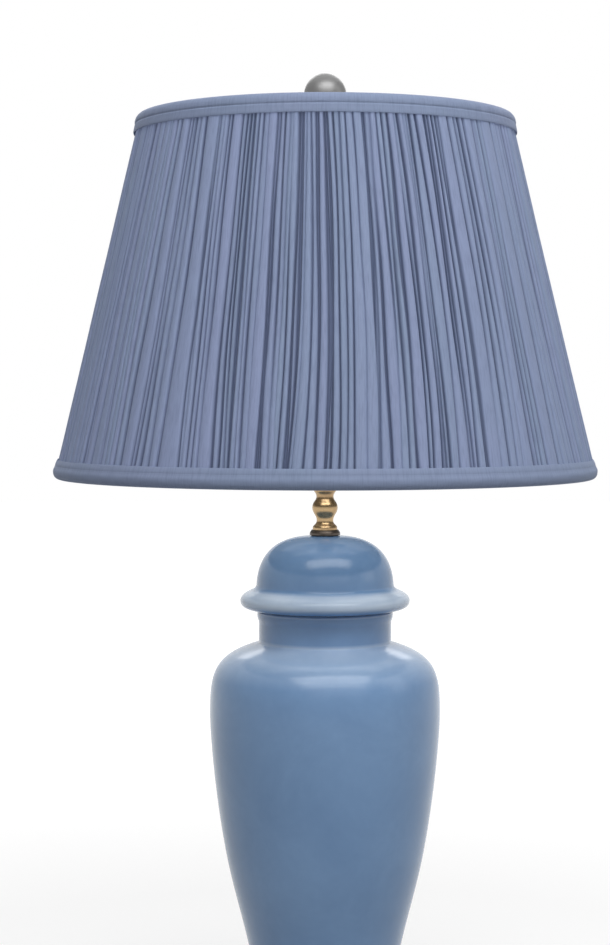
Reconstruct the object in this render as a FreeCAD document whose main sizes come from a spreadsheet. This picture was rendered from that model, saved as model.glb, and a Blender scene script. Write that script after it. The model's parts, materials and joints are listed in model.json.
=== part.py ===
import FreeCAD, Part
import math
import os
import Sketcher

# Table lamp on a covered ceramic jar, with a gathered cloth shade on a harp.
# Millimetres. Z is up and z = 0 is the table top. The cord leaves at +Y, the
# switch knob faces -Y, and the axis of every turned piece is the Z axis.

# ---------------------------------------------------------------- sizes
SIZES = {
    # felt ring and foot of the jar
    "felt_thickness": 2.0,
    "felt_width": 5.5,
    "felt_inset": 1.0,
    "foot_radius": 67.0,
    "foot_edge": 4.0,
    "foot_wall": 7.0,
    "waist_radius": 61.0,
    "waist_height": 38.0,
    "flank_radius": 82.4,
    "flank_rise": 101.4,
    "flank_slope": 0.205,
    "belly_radius": 97.8,
    "belly_rise": 129.6,
    "shoulder_rise": 57.5,
    "neck_radius": 56.2,
    "neck_length": 27.5,
    "mouth_radius": 57.6,
    "jar_wall": 6.0,
    "floor_height": 24.0,
    "floor_thickness": 8.0,
    "floor_hole_radius": 7.0,
    "glaze_edge": 1.2,
    # lid
    "lid_gasket_thickness": 1.0,
    "lid_lip_depth": 10.0,
    "lid_lip_clearance": 1.0,
    "lid_flange_radius": 71.8,
    "lid_flange_height": 16.0,
    "lid_dome_radius": 58.2,
    "lid_height": 62.0,
    "lid_wall": 6.0,
    "lid_hole_radius": 6.5,
    # threaded pipe and what it clamps
    "pipe_radius": 4.9,
    "pipe_bore_radius": 3.4,
    "pipe_tail": 3.6,
    "pipe_top_reach": 9.0,
    "slip_clearance": 0.3,
    "thread_clearance": 0.05,
    "drill_overrun": 1.0,
    "base_gasket_radius": 35.0,
    "base_gasket_thickness": 2.0,
    "base_plate_radius": 38.0,
    "base_plate_thickness": 2.0,
    "lock_washer_radius": 8.5,
    "lock_washer_thickness": 1.6,
    "nut_across_flats": 14.3,
    "nut_height": 4.8,
    "bushing_flange_radius": 6.0,
    "bushing_flange_height": 2.5,
    "bushing_spigot": 5.0,
    "bushing_wall": 0.8,
    # cord outlet in the foot
    "cord_hole_height": 11.0,
    "cord_bore_radius": 3.75,
    "grommet_wall": 1.3,
    "grommet_clearance": 0.15,
    "grommet_flange_radius": 7.2,
    "grommet_flange_thickness": 1.5,
    "grommet_length": 13.0,
    # turned brass under the socket
    "cushion_radius": 11.5,
    "cushion_thickness": 0.8,
    "seat_ring_radius": 13.0,
    "seat_ring_height": 4.4,
    "spacer_foot_radius": 10.5,
    "spacer_foot_height": 1.6,
    "spacer_waist_radius": 7.1,
    "spacer_waist_height": 7.9,
    "spacer_bulge_radius": 10.85,
    "spacer_bulge_height": 18.8,
    "spacer_throat_radius": 7.3,
    "spacer_throat_height": 28.2,
    "spacer_flare_radius": 9.6,
    "spacer_height": 34.8,
    # harp saddle
    "saddle_thickness": 1.6,
    "saddle_disc_radius": 11.0,
    "saddle_arm_width": 8.0,
    "saddle_reach": 28.0,
    "saddle_post_radius": 2.0,
    "saddle_post_height": 22.0,
    "saddle_collar_radius": 3.4,
    "saddle_collar_top": 12.0,
    "saddle_collar_height": 2.0,
    # lamp holder
    "cap_collar_radius": 6.6,
    "cap_collar_height": 7.0,
    "cap_rim_bottom": 16.5,
    "cap_rim_top": 22.0,
    "cap_wall": 0.8,
    "shell_radius": 16.3,
    "shell_wall": 0.5,
    "shell_bottom": 17.0,
    "shell_top": 56.5,
    "shell_clearance": 0.1,
    "liner_wall": 0.8,
    "inner_clearance": 0.3,
    "switch_body_bottom": 18.0,
    "switch_body_top": 36.0,
    "terminal_flat": 11.5,
    "terminal_flat_width": 9.0,
    "terminal_head_radius": 2.6,
    "terminal_head_height": 1.6,
    "screw_shell_bore_radius": 13.4,
    "screw_shell_wall": 0.5,
    "screw_shell_height": 19.5,
    "contact_hole_radius": 5.5,
    "contact_radius": 4.5,
    "contact_height": 2.1,
    "set_screw_radius": 1.4,
    "set_screw_height": 3.5,
    "set_screw_head_radius": 2.2,
    "set_screw_head_height": 2.0,
    "knob_height": 27.0,
    "knob_radius": 4.8,
    "knob_start": 19.0,
    "knob_length": 13.0,
    "knob_groove_radius": 0.5,
    "knob_grooves": 18,
    "shaft_radius": 2.0,
    "shaft_depth": 6.0,
    "shaft_in_knob": 8.0,
    "shaft_hole_radius": 3.5,
    # lamp bulb
    "bulb_seat_gap": 0.3,
    "bulb_cap_radius": 13.1,
    "bulb_cap_wall": 0.5,
    "bulb_cap_height": 21.0,
    "bulb_tip_radius": 4.2,
    "bulb_tip_height": 1.6,
    "bulb_insulator_height": 3.4,
    "bulb_radius": 30.0,
    "bulb_widest": 80.0,
    "bulb_length": 110.0,
    "bulb_glass": 1.0,
    # harp
    "harp_height": 298.4,
    "harp_wire_radius": 2.0,
    "harp_half_width": 57.0,
    "harp_leg_top": 58.0,
    "harp_bow_bottom": 92.0,
    "harp_leg_bend": 18.0,
    "harp_top_bend": 50.0,
    "harp_plate_length": 14.0,
    "harp_plate_width": 10.0,
    "harp_plate_height": 6.4,
    "stud_radius": 3.175,
    "stud_height": 7.8,
    "ferrule_radius": 4.0,
    "ferrule_bore_radius": 2.4,
    "ferrule_length": 20.0,
    # shade frame
    "shade_top_radius": 156.2,
    "shade_bottom_radius": 228.2,
    "shade_height": 302.3,
    "shade_seat_drop": 13.3,
    "spider_washer_radius": 18.0,
    "spider_washer_thickness": 1.2,
    "spider_hole_radius": 3.6,
    "frame_wire_radius": 1.5,
    "arm_start_radius": 10.5,
    "arm_rise_run": 16.0,
    "arm_rise_inset": 22.2,
    "arm_bend": 8.0,
    # shade cloth
    "cloth_gap": 0.5,
    "cloth_thickness": 0.8,
    "pleat_depth": 4.0,
    "pleats": 120,
    "trim_thickness": 1.3,
    "top_trim_height": 15.9,
    "bottom_trim_height": 14.9,
    "trim_turn_in": 13.0,
    # finial
    "finial_base_radius": 8.0,
    "finial_neck_radius": 4.6,
    "finial_cup_radius": 6.8,
    "finial_base_height": 13.5,
    "finial_ball_radius": 17.75,
    "finial_flat_radius": 4.76,
    "finial_bore_depth": 10.5,
}

RIBS = 8
ARMS = 3
FIRST_RIB_ANGLE = 22.5
FIRST_ARM_ANGLE = 90.0

document = FreeCAD.newDocument("JarLamp")
sheet = document.addObject("Spreadsheet::Sheet", "Sizes")
for row, (alias, number) in enumerate(SIZES.items(), start=1):
    sheet.set(f"A{row}", alias.replace("_", " "))
    sheet.set(f"B{row}", str(number))
    sheet.setAlias(f"B{row}", alias)
document.recompute()


class Length:
    """A size that carries its value and the sheet formula that gives it."""

    def __init__(self, value, formula):
        self.value = float(value)
        self.formula = formula

    def __add__(self, other):
        other = as_length(other)
        return Length(self.value + other.value, f"({self.formula} + {other.formula})")

    def __sub__(self, other):
        other = as_length(other)
        return Length(self.value - other.value, f"({self.formula} - {other.formula})")

    def __mul__(self, other):
        other = as_length(other)
        return Length(self.value * other.value, f"({self.formula} * {other.formula})")

    def __truediv__(self, other):
        other = as_length(other)
        return Length(self.value / other.value, f"({self.formula} / {other.formula})")

    def __neg__(self):
        return Length(-self.value, f"(0 - {self.formula})")

    def root(self):
        return Length(math.sqrt(self.value), f"sqrt({self.formula})")

    def is_zero(self):
        return self.formula == "0.0"


def as_length(number):
    """Give a plain number the same form as a size from the sheet."""
    if isinstance(number, Length):
        return number
    return Length(number, f"({float(number)})" if number < 0 else f"{float(number)}")


class Sheet:
    """The sizes of the sheet, each read by its alias."""

    def __getattr__(self, alias):
        return Length(float(sheet.get(alias)), f"Sizes.{alias}")


size = Sheet()
ZERO = as_length(0)

# ---------------------------------------------------------------- outlines
START, END, CENTRE = range(1, 4)
ORIGIN = (-1, 1)
ACROSS_AXIS, UP_AXIS = -1, -2
NORMAL = FreeCAD.Vector(0, 0, 1)


class Curve:
    """A cubic curve to its last point, drawn by its two control points."""

    def __init__(self, first_control, second_control, end):
        self.controls = [first_control, second_control]
        self.end = end


class Arc:
    """A circular arc to its last point, through a point on the way."""

    def __init__(self, through, end):
        self.through = through
        self.end = end


def spot(point):
    """The place of a point of an outline in its sketch."""
    across, up = (as_length(part) for part in point)
    return FreeCAD.Vector(across.value, up.value, 0)


def pin(sketch, geometry, place, point):
    """Tie a point of a sketch to its two sizes."""
    across, up = (as_length(part) for part in point)
    for kind, axis, distance in (("DistanceX", UP_AXIS, across), ("DistanceY", ACROSS_AXIS, up)):
        if distance.is_zero():
            sketch.addConstraint(Sketcher.Constraint("PointOnObject", geometry, place, axis))
            continue
        rule = Sketcher.Constraint(kind, *ORIGIN, geometry, place, distance.value)
        sketch.setExpression(f"Constraints[{sketch.addConstraint(rule)}]", distance.formula)


def join(sketch, first, second):
    """Let the end of one stretch be the start of the next."""
    sketch.addConstraint(Sketcher.Constraint("Coincident", *first, *second))


def add_stretch(sketch, start, stretch):
    """Draw one stretch; return its geometry and which ends are its start and end."""
    if isinstance(stretch, Curve):
        poles = [spot(start)] + [spot(control) for control in stretch.controls] + [spot(stretch.end)]
        curve = Part.BSplineCurve(poles, None, None, False, 3, None, False)
        geometry = sketch.addGeometry(curve, False)
        for number, control in enumerate(stretch.controls, start=1):
            handle = sketch.addGeometry(Part.Circle(spot(control), NORMAL, 1.0), True)
            sketch.addConstraint(Sketcher.Constraint(
                "InternalAlignment:Sketcher::BSplineControlPoint", handle, CENTRE, geometry, number))
            sketch.addConstraint(Sketcher.Constraint("Weight", handle, 1.0))
            pin(sketch, handle, CENTRE, control)
        return geometry, START, END
    if isinstance(stretch, Arc):
        arc = Part.Arc(spot(start), spot(stretch.through), spot(stretch.end))
        geometry = sketch.addGeometry(arc, False)
        guide = sketch.addGeometry(Part.Point(spot(stretch.through)), True)
        pin(sketch, guide, START, stretch.through)
        sketch.addConstraint(Sketcher.Constraint("PointOnObject", guide, START, geometry))
        starts_first = sketch.getPoint(geometry, START).isEqual(spot(start), 1e-6)
        return (geometry, START, END) if starts_first else (geometry, END, START)
    return sketch.addGeometry(Part.LineSegment(spot(start), spot(stretch)), False), START, END


def draw_outline(sketch, outline):
    """Draw a closed outline whose corners are pinned by their sizes."""
    start = outline[0]
    here = start
    opening = None
    previous = None
    stretches = list(outline[1:]) + [start]
    for number, stretch in enumerate(stretches, start=1):
        geometry, first, last = add_stretch(sketch, here, stretch)
        if previous is None:
            opening = (geometry, first)
            pin(sketch, geometry, first, start)
        else:
            join(sketch, previous, (geometry, first))
        here = stretch.end if isinstance(stretch, (Curve, Arc)) else stretch
        previous = (geometry, last)
        if number < len(stretches):
            pin(sketch, geometry, last, here)
    join(sketch, previous, opening)


def draw_circle(sketch, centre, radius):
    """Draw a circle at a pinned centre."""
    geometry = sketch.addGeometry(Part.Circle(spot(centre), NORMAL, radius.value), False)
    pin(sketch, geometry, CENTRE, centre)
    rule = sketch.addConstraint(Sketcher.Constraint("Radius", geometry, radius.value))
    sketch.setExpression(f"Constraints[{rule}]", radius.formula)


def draw_wire_path(sketch, corners, bends):
    """Draw straight runs from corner to corner, with a tangent arc at each bend."""
    spots = [spot(corner) for corner in corners]
    directions = [(after - before).normalize() for before, after in zip(spots, spots[1:])]
    setbacks = [0.0]
    for number, bend in enumerate(bends):
        turn = directions[number].getAngle(directions[number + 1])
        setbacks.append(bend.value * math.tan(turn / 2))
    setbacks.append(0.0)
    runs = []
    for number, direction in enumerate(directions):
        first = spots[number] + direction * setbacks[number]
        last = spots[number + 1] - direction * setbacks[number + 1]
        runs.append(sketch.addGeometry(Part.LineSegment(first, last), False))
    pin(sketch, runs[0], START, corners[0])
    pin(sketch, runs[-1], END, corners[-1])
    for number, bend in enumerate(bends):
        corner = spots[number + 1]
        inward = (directions[number + 1] - directions[number]).normalize()
        turn = directions[number].getAngle(directions[number + 1])
        centre = corner + inward * (bend.value / math.cos(turn / 2))
        first = corner - directions[number] * setbacks[number + 1]
        last = corner + directions[number + 1] * setbacks[number + 1]
        middle = centre - inward * bend.value
        arc = sketch.addGeometry(Part.Arc(first, middle, last), False)
        starts_first = sketch.getPoint(arc, START).isEqual(first, 1e-6)
        ends = (START, END) if starts_first else (END, START)
        sketch.addConstraint(Sketcher.Constraint("Tangent", runs[number], END, arc, ends[0]))
        sketch.addConstraint(Sketcher.Constraint("Tangent", arc, ends[1], runs[number + 1], START))
        rule = sketch.addConstraint(Sketcher.Constraint("Radius", arc, bend.value))
        sketch.setExpression(f"Constraints[{rule}]", bend.formula)
        guide = sketch.addGeometry(Part.Point(corner), True)
        pin(sketch, guide, START, corners[number + 1])
        sketch.addConstraint(Sketcher.Constraint("PointOnObject", guide, START, runs[number]))
        sketch.addConstraint(Sketcher.Constraint("PointOnObject", guide, START, runs[number + 1]))


def box_outline(inner, outer, bottom, top):
    """The four corners of a ring's square section."""
    return [(inner, bottom), (outer, bottom), (outer, top), (inner, top)]


# ---------------------------------------------------------------- pieces
UPRIGHT = FreeCAD.Rotation()
FORWARD = FreeCAD.Rotation(FreeCAD.Vector(1, 0, 0), 90)
BACKWARD = FreeCAD.Rotation(FreeCAD.Vector(1, 0, 0), -90)
RIGHTWARD = FreeCAD.Rotation(FreeCAD.Vector(0, 1, 0), 90)
LEFTWARD = FreeCAD.Rotation(FreeCAD.Vector(0, 1, 0), -90)

pieces = []


def about_z(angle):
    """A turn about the lamp's axis."""
    return FreeCAD.Rotation(FreeCAD.Vector(0, 0, 1), angle)


def set_place(item, place, rotation):
    """Put an object where its sizes say."""
    place = [as_length(part) for part in place]
    item.Placement = FreeCAD.Placement(FreeCAD.Vector(*[part.value for part in place]), rotation)
    for axis, distance in zip("xyz", place):
        if not distance.is_zero():
            item.setExpression(f"Placement.Base.{axis}", distance.formula)


def keep(item, name):
    """Name a finished sub-part and list it for export."""
    item.Label = name
    pieces.append(item)
    return item


class Piece:
    """A sub-part made as a body, feature by feature."""

    def __init__(self, name, height=ZERO, place=None, rotation=UPRIGHT):
        self.name = name
        self.body = document.addObject("PartDesign::Body", name)
        set_place(self.body, place or (ZERO, ZERO, height), rotation)
        keep(self.body, name)

    def sketch(self, plane, lift=ZERO):
        """A sketch on one of the body's own planes, lifted along its normal."""
        sketch = self.body.newObject("Sketcher::SketchObject", self.name + "_sketch")
        support = [item for item in self.body.Origin.OriginFeatures if item.Role == plane]
        sketch.AttachmentSupport = [(support[0], "")]
        sketch.MapMode = "FlatFace"
        lift = as_length(lift)
        sketch.AttachmentOffset = FreeCAD.Placement(FreeCAD.Vector(0, 0, lift.value), UPRIGHT)
        if not lift.is_zero():
            sketch.setExpression("AttachmentOffset.Base.z", lift.formula)
        return sketch

    def turned(self, outline):
        """Turn an outline of radius and height about the body's Z axis."""
        sketch = self.sketch("XZ_Plane")
        draw_outline(sketch, outline)
        feature = self.body.newObject("PartDesign::Revolution", self.name + "_turned")
        feature.Profile = sketch
        feature.ReferenceAxis = (sketch, ["V_Axis"])
        feature.Angle = 360
        return self

    def ring(self, centre, radius):
        """Turn a round section about the body's Z axis."""
        sketch = self.sketch("XZ_Plane")
        draw_circle(sketch, centre, radius)
        feature = self.body.newObject("PartDesign::Revolution", self.name + "_ring")
        feature.Profile = sketch
        feature.ReferenceAxis = (sketch, ["V_Axis"])
        feature.Angle = 360
        return self

    def extrude(self, kind, sketch, length):
        """Pad or pocket a sketch by a length along its plane's normal."""
        feature = self.body.newObject(kind, self.name + "_" + kind.split("::")[1].lower())
        feature.Profile = sketch
        feature.Length = length.value
        feature.setExpression("Length", length.formula)
        feature.Reversed = kind == "PartDesign::Pocket"
        return feature

    def disc(self, centre, radius, bottom, height):
        """Add a round boss that stands on a level of the body."""
        sketch = self.sketch("XY_Plane", bottom)
        draw_circle(sketch, centre, radius)
        return self.extrude("PartDesign::Pad", sketch, height)

    def slab(self, outline, bottom, height):
        """Add a flat plate of the given outline."""
        sketch = self.sketch("XY_Plane", bottom)
        draw_outline(sketch, outline)
        return self.extrude("PartDesign::Pad", sketch, height)

    def bore(self, plane, centre, radius, start, length):
        """Cut a round hole from a level of a plane, along its normal."""
        sketch = self.sketch(plane, start)
        draw_circle(sketch, centre, radius)
        return self.extrude("PartDesign::Pocket", sketch, length)

    def mill(self, plane, outline, start, length):
        """Cut a flat-sided recess from a level of a plane, along its normal."""
        sketch = self.sketch(plane, start)
        draw_outline(sketch, outline)
        return self.extrude("PartDesign::Pocket", sketch, length)

    def repeat(self, feature, count):
        """Repeat a feature round the body's Z axis."""
        pattern = self.body.newObject("PartDesign::PolarPattern", self.name + "_pattern")
        pattern.Originals = [feature]
        axis = [item for item in self.body.Origin.OriginFeatures if item.Role == "Z_Axis"]
        pattern.Axis = (axis[0], [""])
        pattern.Angle = 360
        pattern.Occurrences = int(count.value)
        pattern.setExpression("Occurrences", count.formula)
        self.body.Tip = pattern
        return pattern

    def wire(self, corners, bends, radius, profile_plane, profile_lift, profile_centre):
        """Sweep a round wire along straight runs and bends in the XZ plane."""
        path = self.sketch("XZ_Plane")
        draw_wire_path(path, corners, bends)
        profile = self.sketch(profile_plane, profile_lift)
        draw_circle(profile, profile_centre, radius)
        feature = self.body.newObject("PartDesign::AdditivePipe", self.name + "_wire")
        feature.Profile = profile
        feature.Spine = (path, [])
        return self


def washer(name, bottom, height, inner, outer):
    """A flat ring about the lamp's axis."""
    return Piece(name, bottom).turned(box_outline(inner, outer, ZERO, height))


# ---------------------------------------------------------------- levels
flank_height = size.waist_height + size.flank_rise
belly_height = flank_height + size.belly_rise
shoulder_height = belly_height + size.shoulder_rise
jar_height = shoulder_height + size.neck_length
foot_level = size.felt_thickness
mouth_level = foot_level + jar_height
lid_level = mouth_level + size.lid_gasket_thickness
lid_top = lid_level + size.lid_height
seat_ring_level = lid_top + size.cushion_thickness
spacer_level = seat_ring_level + size.seat_ring_height
saddle_level = spacer_level + size.spacer_height
holder_level = saddle_level + size.saddle_thickness
harp_seat = holder_level + size.harp_height
spider_top = harp_seat + size.spider_washer_thickness
shade_top = harp_seat + size.shade_seat_drop
shade_bottom = shade_top - size.shade_height
slip_bore = size.pipe_radius + size.slip_clearance


# ---------------------------------------------------------------- jar
def make_jar():
    """The jar: a hollow ceramic body with a recessed foot and an open neck."""
    wall = size.jar_wall
    edge = size.glaze_edge
    floor_top = size.floor_height + size.floor_thickness
    neck_bore = size.neck_radius - wall
    recess = size.foot_radius - size.foot_wall
    recess_top = size.waist_radius - size.foot_wall
    inner_waist = size.waist_radius - wall
    inner_flank = size.flank_radius - wall
    inner_belly = size.belly_radius - wall
    neck_rise = size.neck_length
    low_pull = size.waist_height * 0.66
    belly_gap = size.belly_rise
    top_gap = size.shoulder_rise
    flank_down = size.flank_rise * 0.345
    flank_up = belly_gap * 0.347
    shoulder_pull = (size.belly_radius - size.neck_radius) * 0.88
    outline = [
        (recess, ZERO),
        (size.foot_radius - edge, ZERO),
        (size.foot_radius, edge),
        (size.foot_radius, size.foot_edge),
        Curve((size.foot_radius, size.waist_height * 0.5),
              (size.waist_radius, size.waist_height * 0.6),
              (size.waist_radius, size.waist_height)),
        Curve((size.waist_radius, size.waist_height + low_pull),
              (size.flank_radius - size.flank_slope * flank_down, flank_height - flank_down),
              (size.flank_radius, flank_height)),
        Curve((size.flank_radius + size.flank_slope * flank_up, flank_height + flank_up),
              (size.belly_radius, belly_height - belly_gap * 0.193),
              (size.belly_radius, belly_height)),
        Curve((size.belly_radius, belly_height + top_gap * 0.6),
              (size.neck_radius + shoulder_pull, shoulder_height - top_gap * 0.18),
              (size.neck_radius, shoulder_height)),
        (size.neck_radius, shoulder_height + neck_rise * 0.6),
        Curve((size.neck_radius, shoulder_height + neck_rise * 0.72),
              (size.mouth_radius, shoulder_height + neck_rise * 0.74),
              (size.mouth_radius, shoulder_height + neck_rise * 0.84)),
        (size.mouth_radius, jar_height - edge),
        (size.mouth_radius - edge, jar_height),
        (neck_bore + edge, jar_height),
        (neck_bore, jar_height - edge),
        (neck_bore, shoulder_height - wall),
        Curve((neck_bore + shoulder_pull, shoulder_height - wall - top_gap * 0.1),
              (inner_belly, belly_height + top_gap * 0.55),
              (inner_belly, belly_height)),
        Curve((inner_belly, belly_height - belly_gap * 0.193),
              (inner_flank + size.flank_slope * flank_up, flank_height + flank_up),
              (inner_flank, flank_height)),
        Curve((inner_flank - size.flank_slope * flank_down, flank_height - flank_down),
              (inner_waist, size.waist_height + low_pull),
              (inner_waist, size.waist_height)),
        Curve((inner_waist, floor_top + edge * 2), (inner_waist - edge, floor_top),
              (inner_waist - edge * 6, floor_top)),
        (size.floor_hole_radius, floor_top),
        (size.floor_hole_radius, size.floor_height),
        (recess_top - edge * 5, size.floor_height),
        Curve((recess_top - edge, size.floor_height), (recess_top, size.floor_height - edge),
              (recess_top, size.floor_height - edge * 4)),
    ]
    jar = Piece("jar_body", foot_level).turned(outline)
    hole = size.cord_bore_radius + size.grommet_wall + size.grommet_clearance
    jar.bore("XZ_Plane", (ZERO, size.cord_hole_height), hole,
             -(size.foot_radius + edge), size.foot_radius * 0.3)


def make_lid():
    """The lid: a domed cap with a wide flange and a lip that drops into the neck."""
    lip = size.lid_lip_depth
    wall = size.lid_wall
    flange = size.lid_flange_radius
    dome = size.lid_dome_radius
    rise = size.lid_flange_height
    overhang = flange - dome
    lip_radius = size.neck_radius - size.jar_wall - size.lid_lip_clearance
    lip_bore = lip_radius - wall * 0.85
    dome_start = rise + rise * 0.31
    dome_rise = size.lid_height - dome_start
    dome_inner = dome - wall
    outline = [
        (lip_bore, ZERO),
        (lip_radius, ZERO),
        (lip_radius, lip),
        (dome + overhang * 0.28, lip),
        Curve((dome + overhang * 0.72, lip + rise * 0.04),
              (flange, lip + rise * 0.19),
              (flange, lip + rise * 0.45)),
        Curve((flange, lip + rise * 0.75),
              (dome + overhang * 0.57, lip + rise * 0.91),
              (dome + overhang * 0.32, lip + rise)),
        Curve((dome + overhang * 0.1, lip + rise * 1.08),
              (dome + overhang * 0.01, lip + rise * 1.19),
              (dome, lip + dome_start)),
        Curve((dome * 0.98, lip + dome_start + dome_rise * 0.51),
              (dome * 0.79, lip + dome_start + dome_rise * 0.98),
              (size.seat_ring_radius, lip + size.lid_height)),
        (size.lid_hole_radius, lip + size.lid_height),
        (size.lid_hole_radius, lip + size.lid_height - wall),
        (size.seat_ring_radius, lip + size.lid_height - wall),
        Curve((dome_inner * 0.79, lip + dome_start + dome_rise * 0.96 - wall * 0.9),
              (dome_inner * 0.98, lip + dome_start + dome_rise * 0.46),
              (dome_inner, lip + dome_start)),
        (dome_inner, lip + rise * 0.7),
        Curve((dome_inner, lip + rise * 0.4), (lip_bore, lip + rise * 0.5), (lip_bore, lip)),
    ]
    Piece("jar_lid", lid_level - lip).turned(outline)


def make_jar_seals():
    """The felt under the foot and the soft ring between lid and jar."""
    edge = size.glaze_edge
    felt_outer = size.foot_radius - size.felt_inset
    washer("base_felt", ZERO, size.felt_thickness, felt_outer - size.felt_width, felt_outer)
    neck_bore = size.neck_radius - size.jar_wall
    washer("lid_gasket", mouth_level, size.lid_gasket_thickness,
           neck_bore + edge, size.mouth_radius - edge)


# ---------------------------------------------------------------- pipe and clamp
gasket_level = foot_level + size.floor_height - size.base_gasket_thickness
plate_level = gasket_level - size.base_plate_thickness
lock_level = plate_level - size.lock_washer_thickness
nut_level = lock_level - size.nut_height
pipe_bottom = nut_level - size.pipe_tail
pipe_top = holder_level + size.pipe_top_reach


def make_pipe_and_clamp():
    """The threaded pipe that ties the lamp together, with what clamps it below."""
    washer("lamp_pipe", pipe_bottom, pipe_top - pipe_bottom, size.pipe_bore_radius, size.pipe_radius)
    washer("base_gasket", gasket_level, size.base_gasket_thickness,
           size.floor_hole_radius, size.base_gasket_radius)
    washer("base_bearing_plate", plate_level, size.base_plate_thickness,
           slip_bore, size.base_plate_radius)
    washer("base_lock_washer", lock_level, size.lock_washer_thickness,
           slip_bore, size.lock_washer_radius)
    nut_blank = document.addObject("Part::Prism", "nut_blank")
    nut_blank.Polygon = 6
    nut_blank.setExpression("Circumradius", (size.nut_across_flats / math.sqrt(3)).formula)
    nut_blank.setExpression("Height", size.nut_height.formula)
    nut_hole = document.addObject("Part::Cylinder", "nut_hole")
    nut_hole.setExpression("Radius", (size.pipe_radius + size.thread_clearance).formula)
    nut_hole.setExpression("Height", size.nut_height.formula)
    nut = document.addObject("Part::Cut", "base_hex_nut")
    nut.Base = nut_blank
    nut.Tool = nut_hole
    set_place(nut, (ZERO, ZERO, nut_level), UPRIGHT)
    keep(nut, "base_hex_nut")


def make_bushings():
    """The plastic sleeves that keep the pipe's two ends from cutting the cord."""
    flange = size.bushing_flange_radius
    height = size.bushing_flange_height
    spigot = size.pipe_bore_radius - size.shell_clearance
    bore = spigot - size.bushing_wall
    Piece("pipe_bushing_bottom", pipe_bottom - height).turned([
        (bore, ZERO),
        (flange, ZERO),
        (flange, height),
        (spigot, height),
        (spigot, height + size.bushing_spigot),
        (bore, height + size.bushing_spigot),
    ])
    Piece("pipe_bushing_top", pipe_top - size.bushing_spigot).turned([
        (bore, ZERO),
        (spigot, ZERO),
        (spigot, size.bushing_spigot),
        (flange, size.bushing_spigot),
        (flange, size.bushing_spigot + height),
        (bore, size.bushing_spigot + height),
    ])


def make_grommet():
    """The flanged sleeve in the foot that the cord comes out of."""
    bore = size.cord_bore_radius
    sleeve = bore + size.grommet_wall
    shank = size.grommet_length - size.grommet_flange_thickness
    inner_end = size.foot_radius + size.inner_clearance - shank
    place = (ZERO, inner_end, foot_level + size.cord_hole_height)
    Piece("cord_grommet", place=place, rotation=BACKWARD).turned([
        (bore, ZERO),
        (sleeve, ZERO),
        (sleeve, shank),
        (size.grommet_flange_radius, shank),
        (size.grommet_flange_radius, size.grommet_length),
        (bore, size.grommet_length),
    ])


# ---------------------------------------------------------------- brass column
def make_column():
    """The soft washer, the seat ring and the turned brass spacer above the lid."""
    washer("lid_cushion_washer", lid_top, size.cushion_thickness, slip_bore, size.cushion_radius)
    ring = size.seat_ring_radius
    height = size.seat_ring_height
    Piece("neck_seat_ring", seat_ring_level).turned([
        (slip_bore, ZERO),
        (ring, ZERO),
        (ring, height * 0.35),
        Curve((ring, height * 0.62), (ring * 0.92, height * 0.7), (ring * 0.915, height * 0.85)),
        (ring * 0.9, height),
        (slip_bore, height),
    ])
    foot = size.spacer_foot_radius
    waist = size.spacer_waist_radius
    bulge = size.spacer_bulge_radius
    throat = size.spacer_throat_radius
    flare = size.spacer_flare_radius
    foot_top = size.spacer_foot_height
    waist_rise = size.spacer_waist_height - foot_top
    bulge_rise = size.spacer_bulge_height - size.spacer_waist_height
    throat_rise = size.spacer_throat_height - size.spacer_bulge_height
    flare_rise = size.spacer_height - size.spacer_throat_height
    flare_edge = flare_rise * 0.1
    Piece("brass_neck", spacer_level).turned([
        (slip_bore, ZERO),
        (foot, ZERO),
        (foot, foot_top),
        Curve((foot, foot_top + waist_rise * 0.4), (waist, foot_top + waist_rise * 0.45),
              (waist, size.spacer_waist_height)),
        Curve((waist, size.spacer_waist_height + bulge_rise * 0.42),
              (bulge, size.spacer_waist_height + bulge_rise * 0.56),
              (bulge, size.spacer_bulge_height)),
        Curve((bulge, size.spacer_bulge_height + throat_rise * 0.5),
              (throat, size.spacer_bulge_height + throat_rise * 0.6),
              (throat, size.spacer_throat_height)),
        Curve((throat, size.spacer_throat_height + flare_rise * 0.5),
              (flare, size.spacer_throat_height + flare_rise * 0.55),
              (flare, size.spacer_height - flare_edge)),
        (flare, size.spacer_height),
        (slip_bore, size.spacer_height),
    ])


def make_saddle():
    """The harp's saddle: a flat bar with a post and a stop collar at each end."""
    thick = size.saddle_thickness
    reach = size.saddle_reach
    half = size.saddle_arm_width / 2
    saddle = Piece("harp_saddle", saddle_level)
    saddle.slab([
        (reach, -half),
        Arc((reach + half, ZERO), (reach, half)),
        (-reach, half),
        Arc((-reach - half, ZERO), (-reach, -half)),
    ], ZERO, thick)
    saddle.disc((ZERO, ZERO), size.saddle_disc_radius, ZERO, thick)
    for side in (reach, -reach):
        saddle.disc((side, ZERO), size.saddle_post_radius, thick, size.saddle_post_height)
        saddle.disc((side, ZERO), size.saddle_collar_radius,
                    thick + size.saddle_collar_top - size.saddle_collar_height,
                    size.saddle_collar_height)
    saddle.bore("XY_Plane", (ZERO, ZERO), slip_bore, ZERO, thick)


# ---------------------------------------------------------------- lamp holder
liner_radius = size.shell_radius - size.shell_wall - size.shell_clearance
switch_radius = liner_radius - size.liner_wall - size.inner_clearance
knob_level = holder_level + size.knob_height


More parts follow.
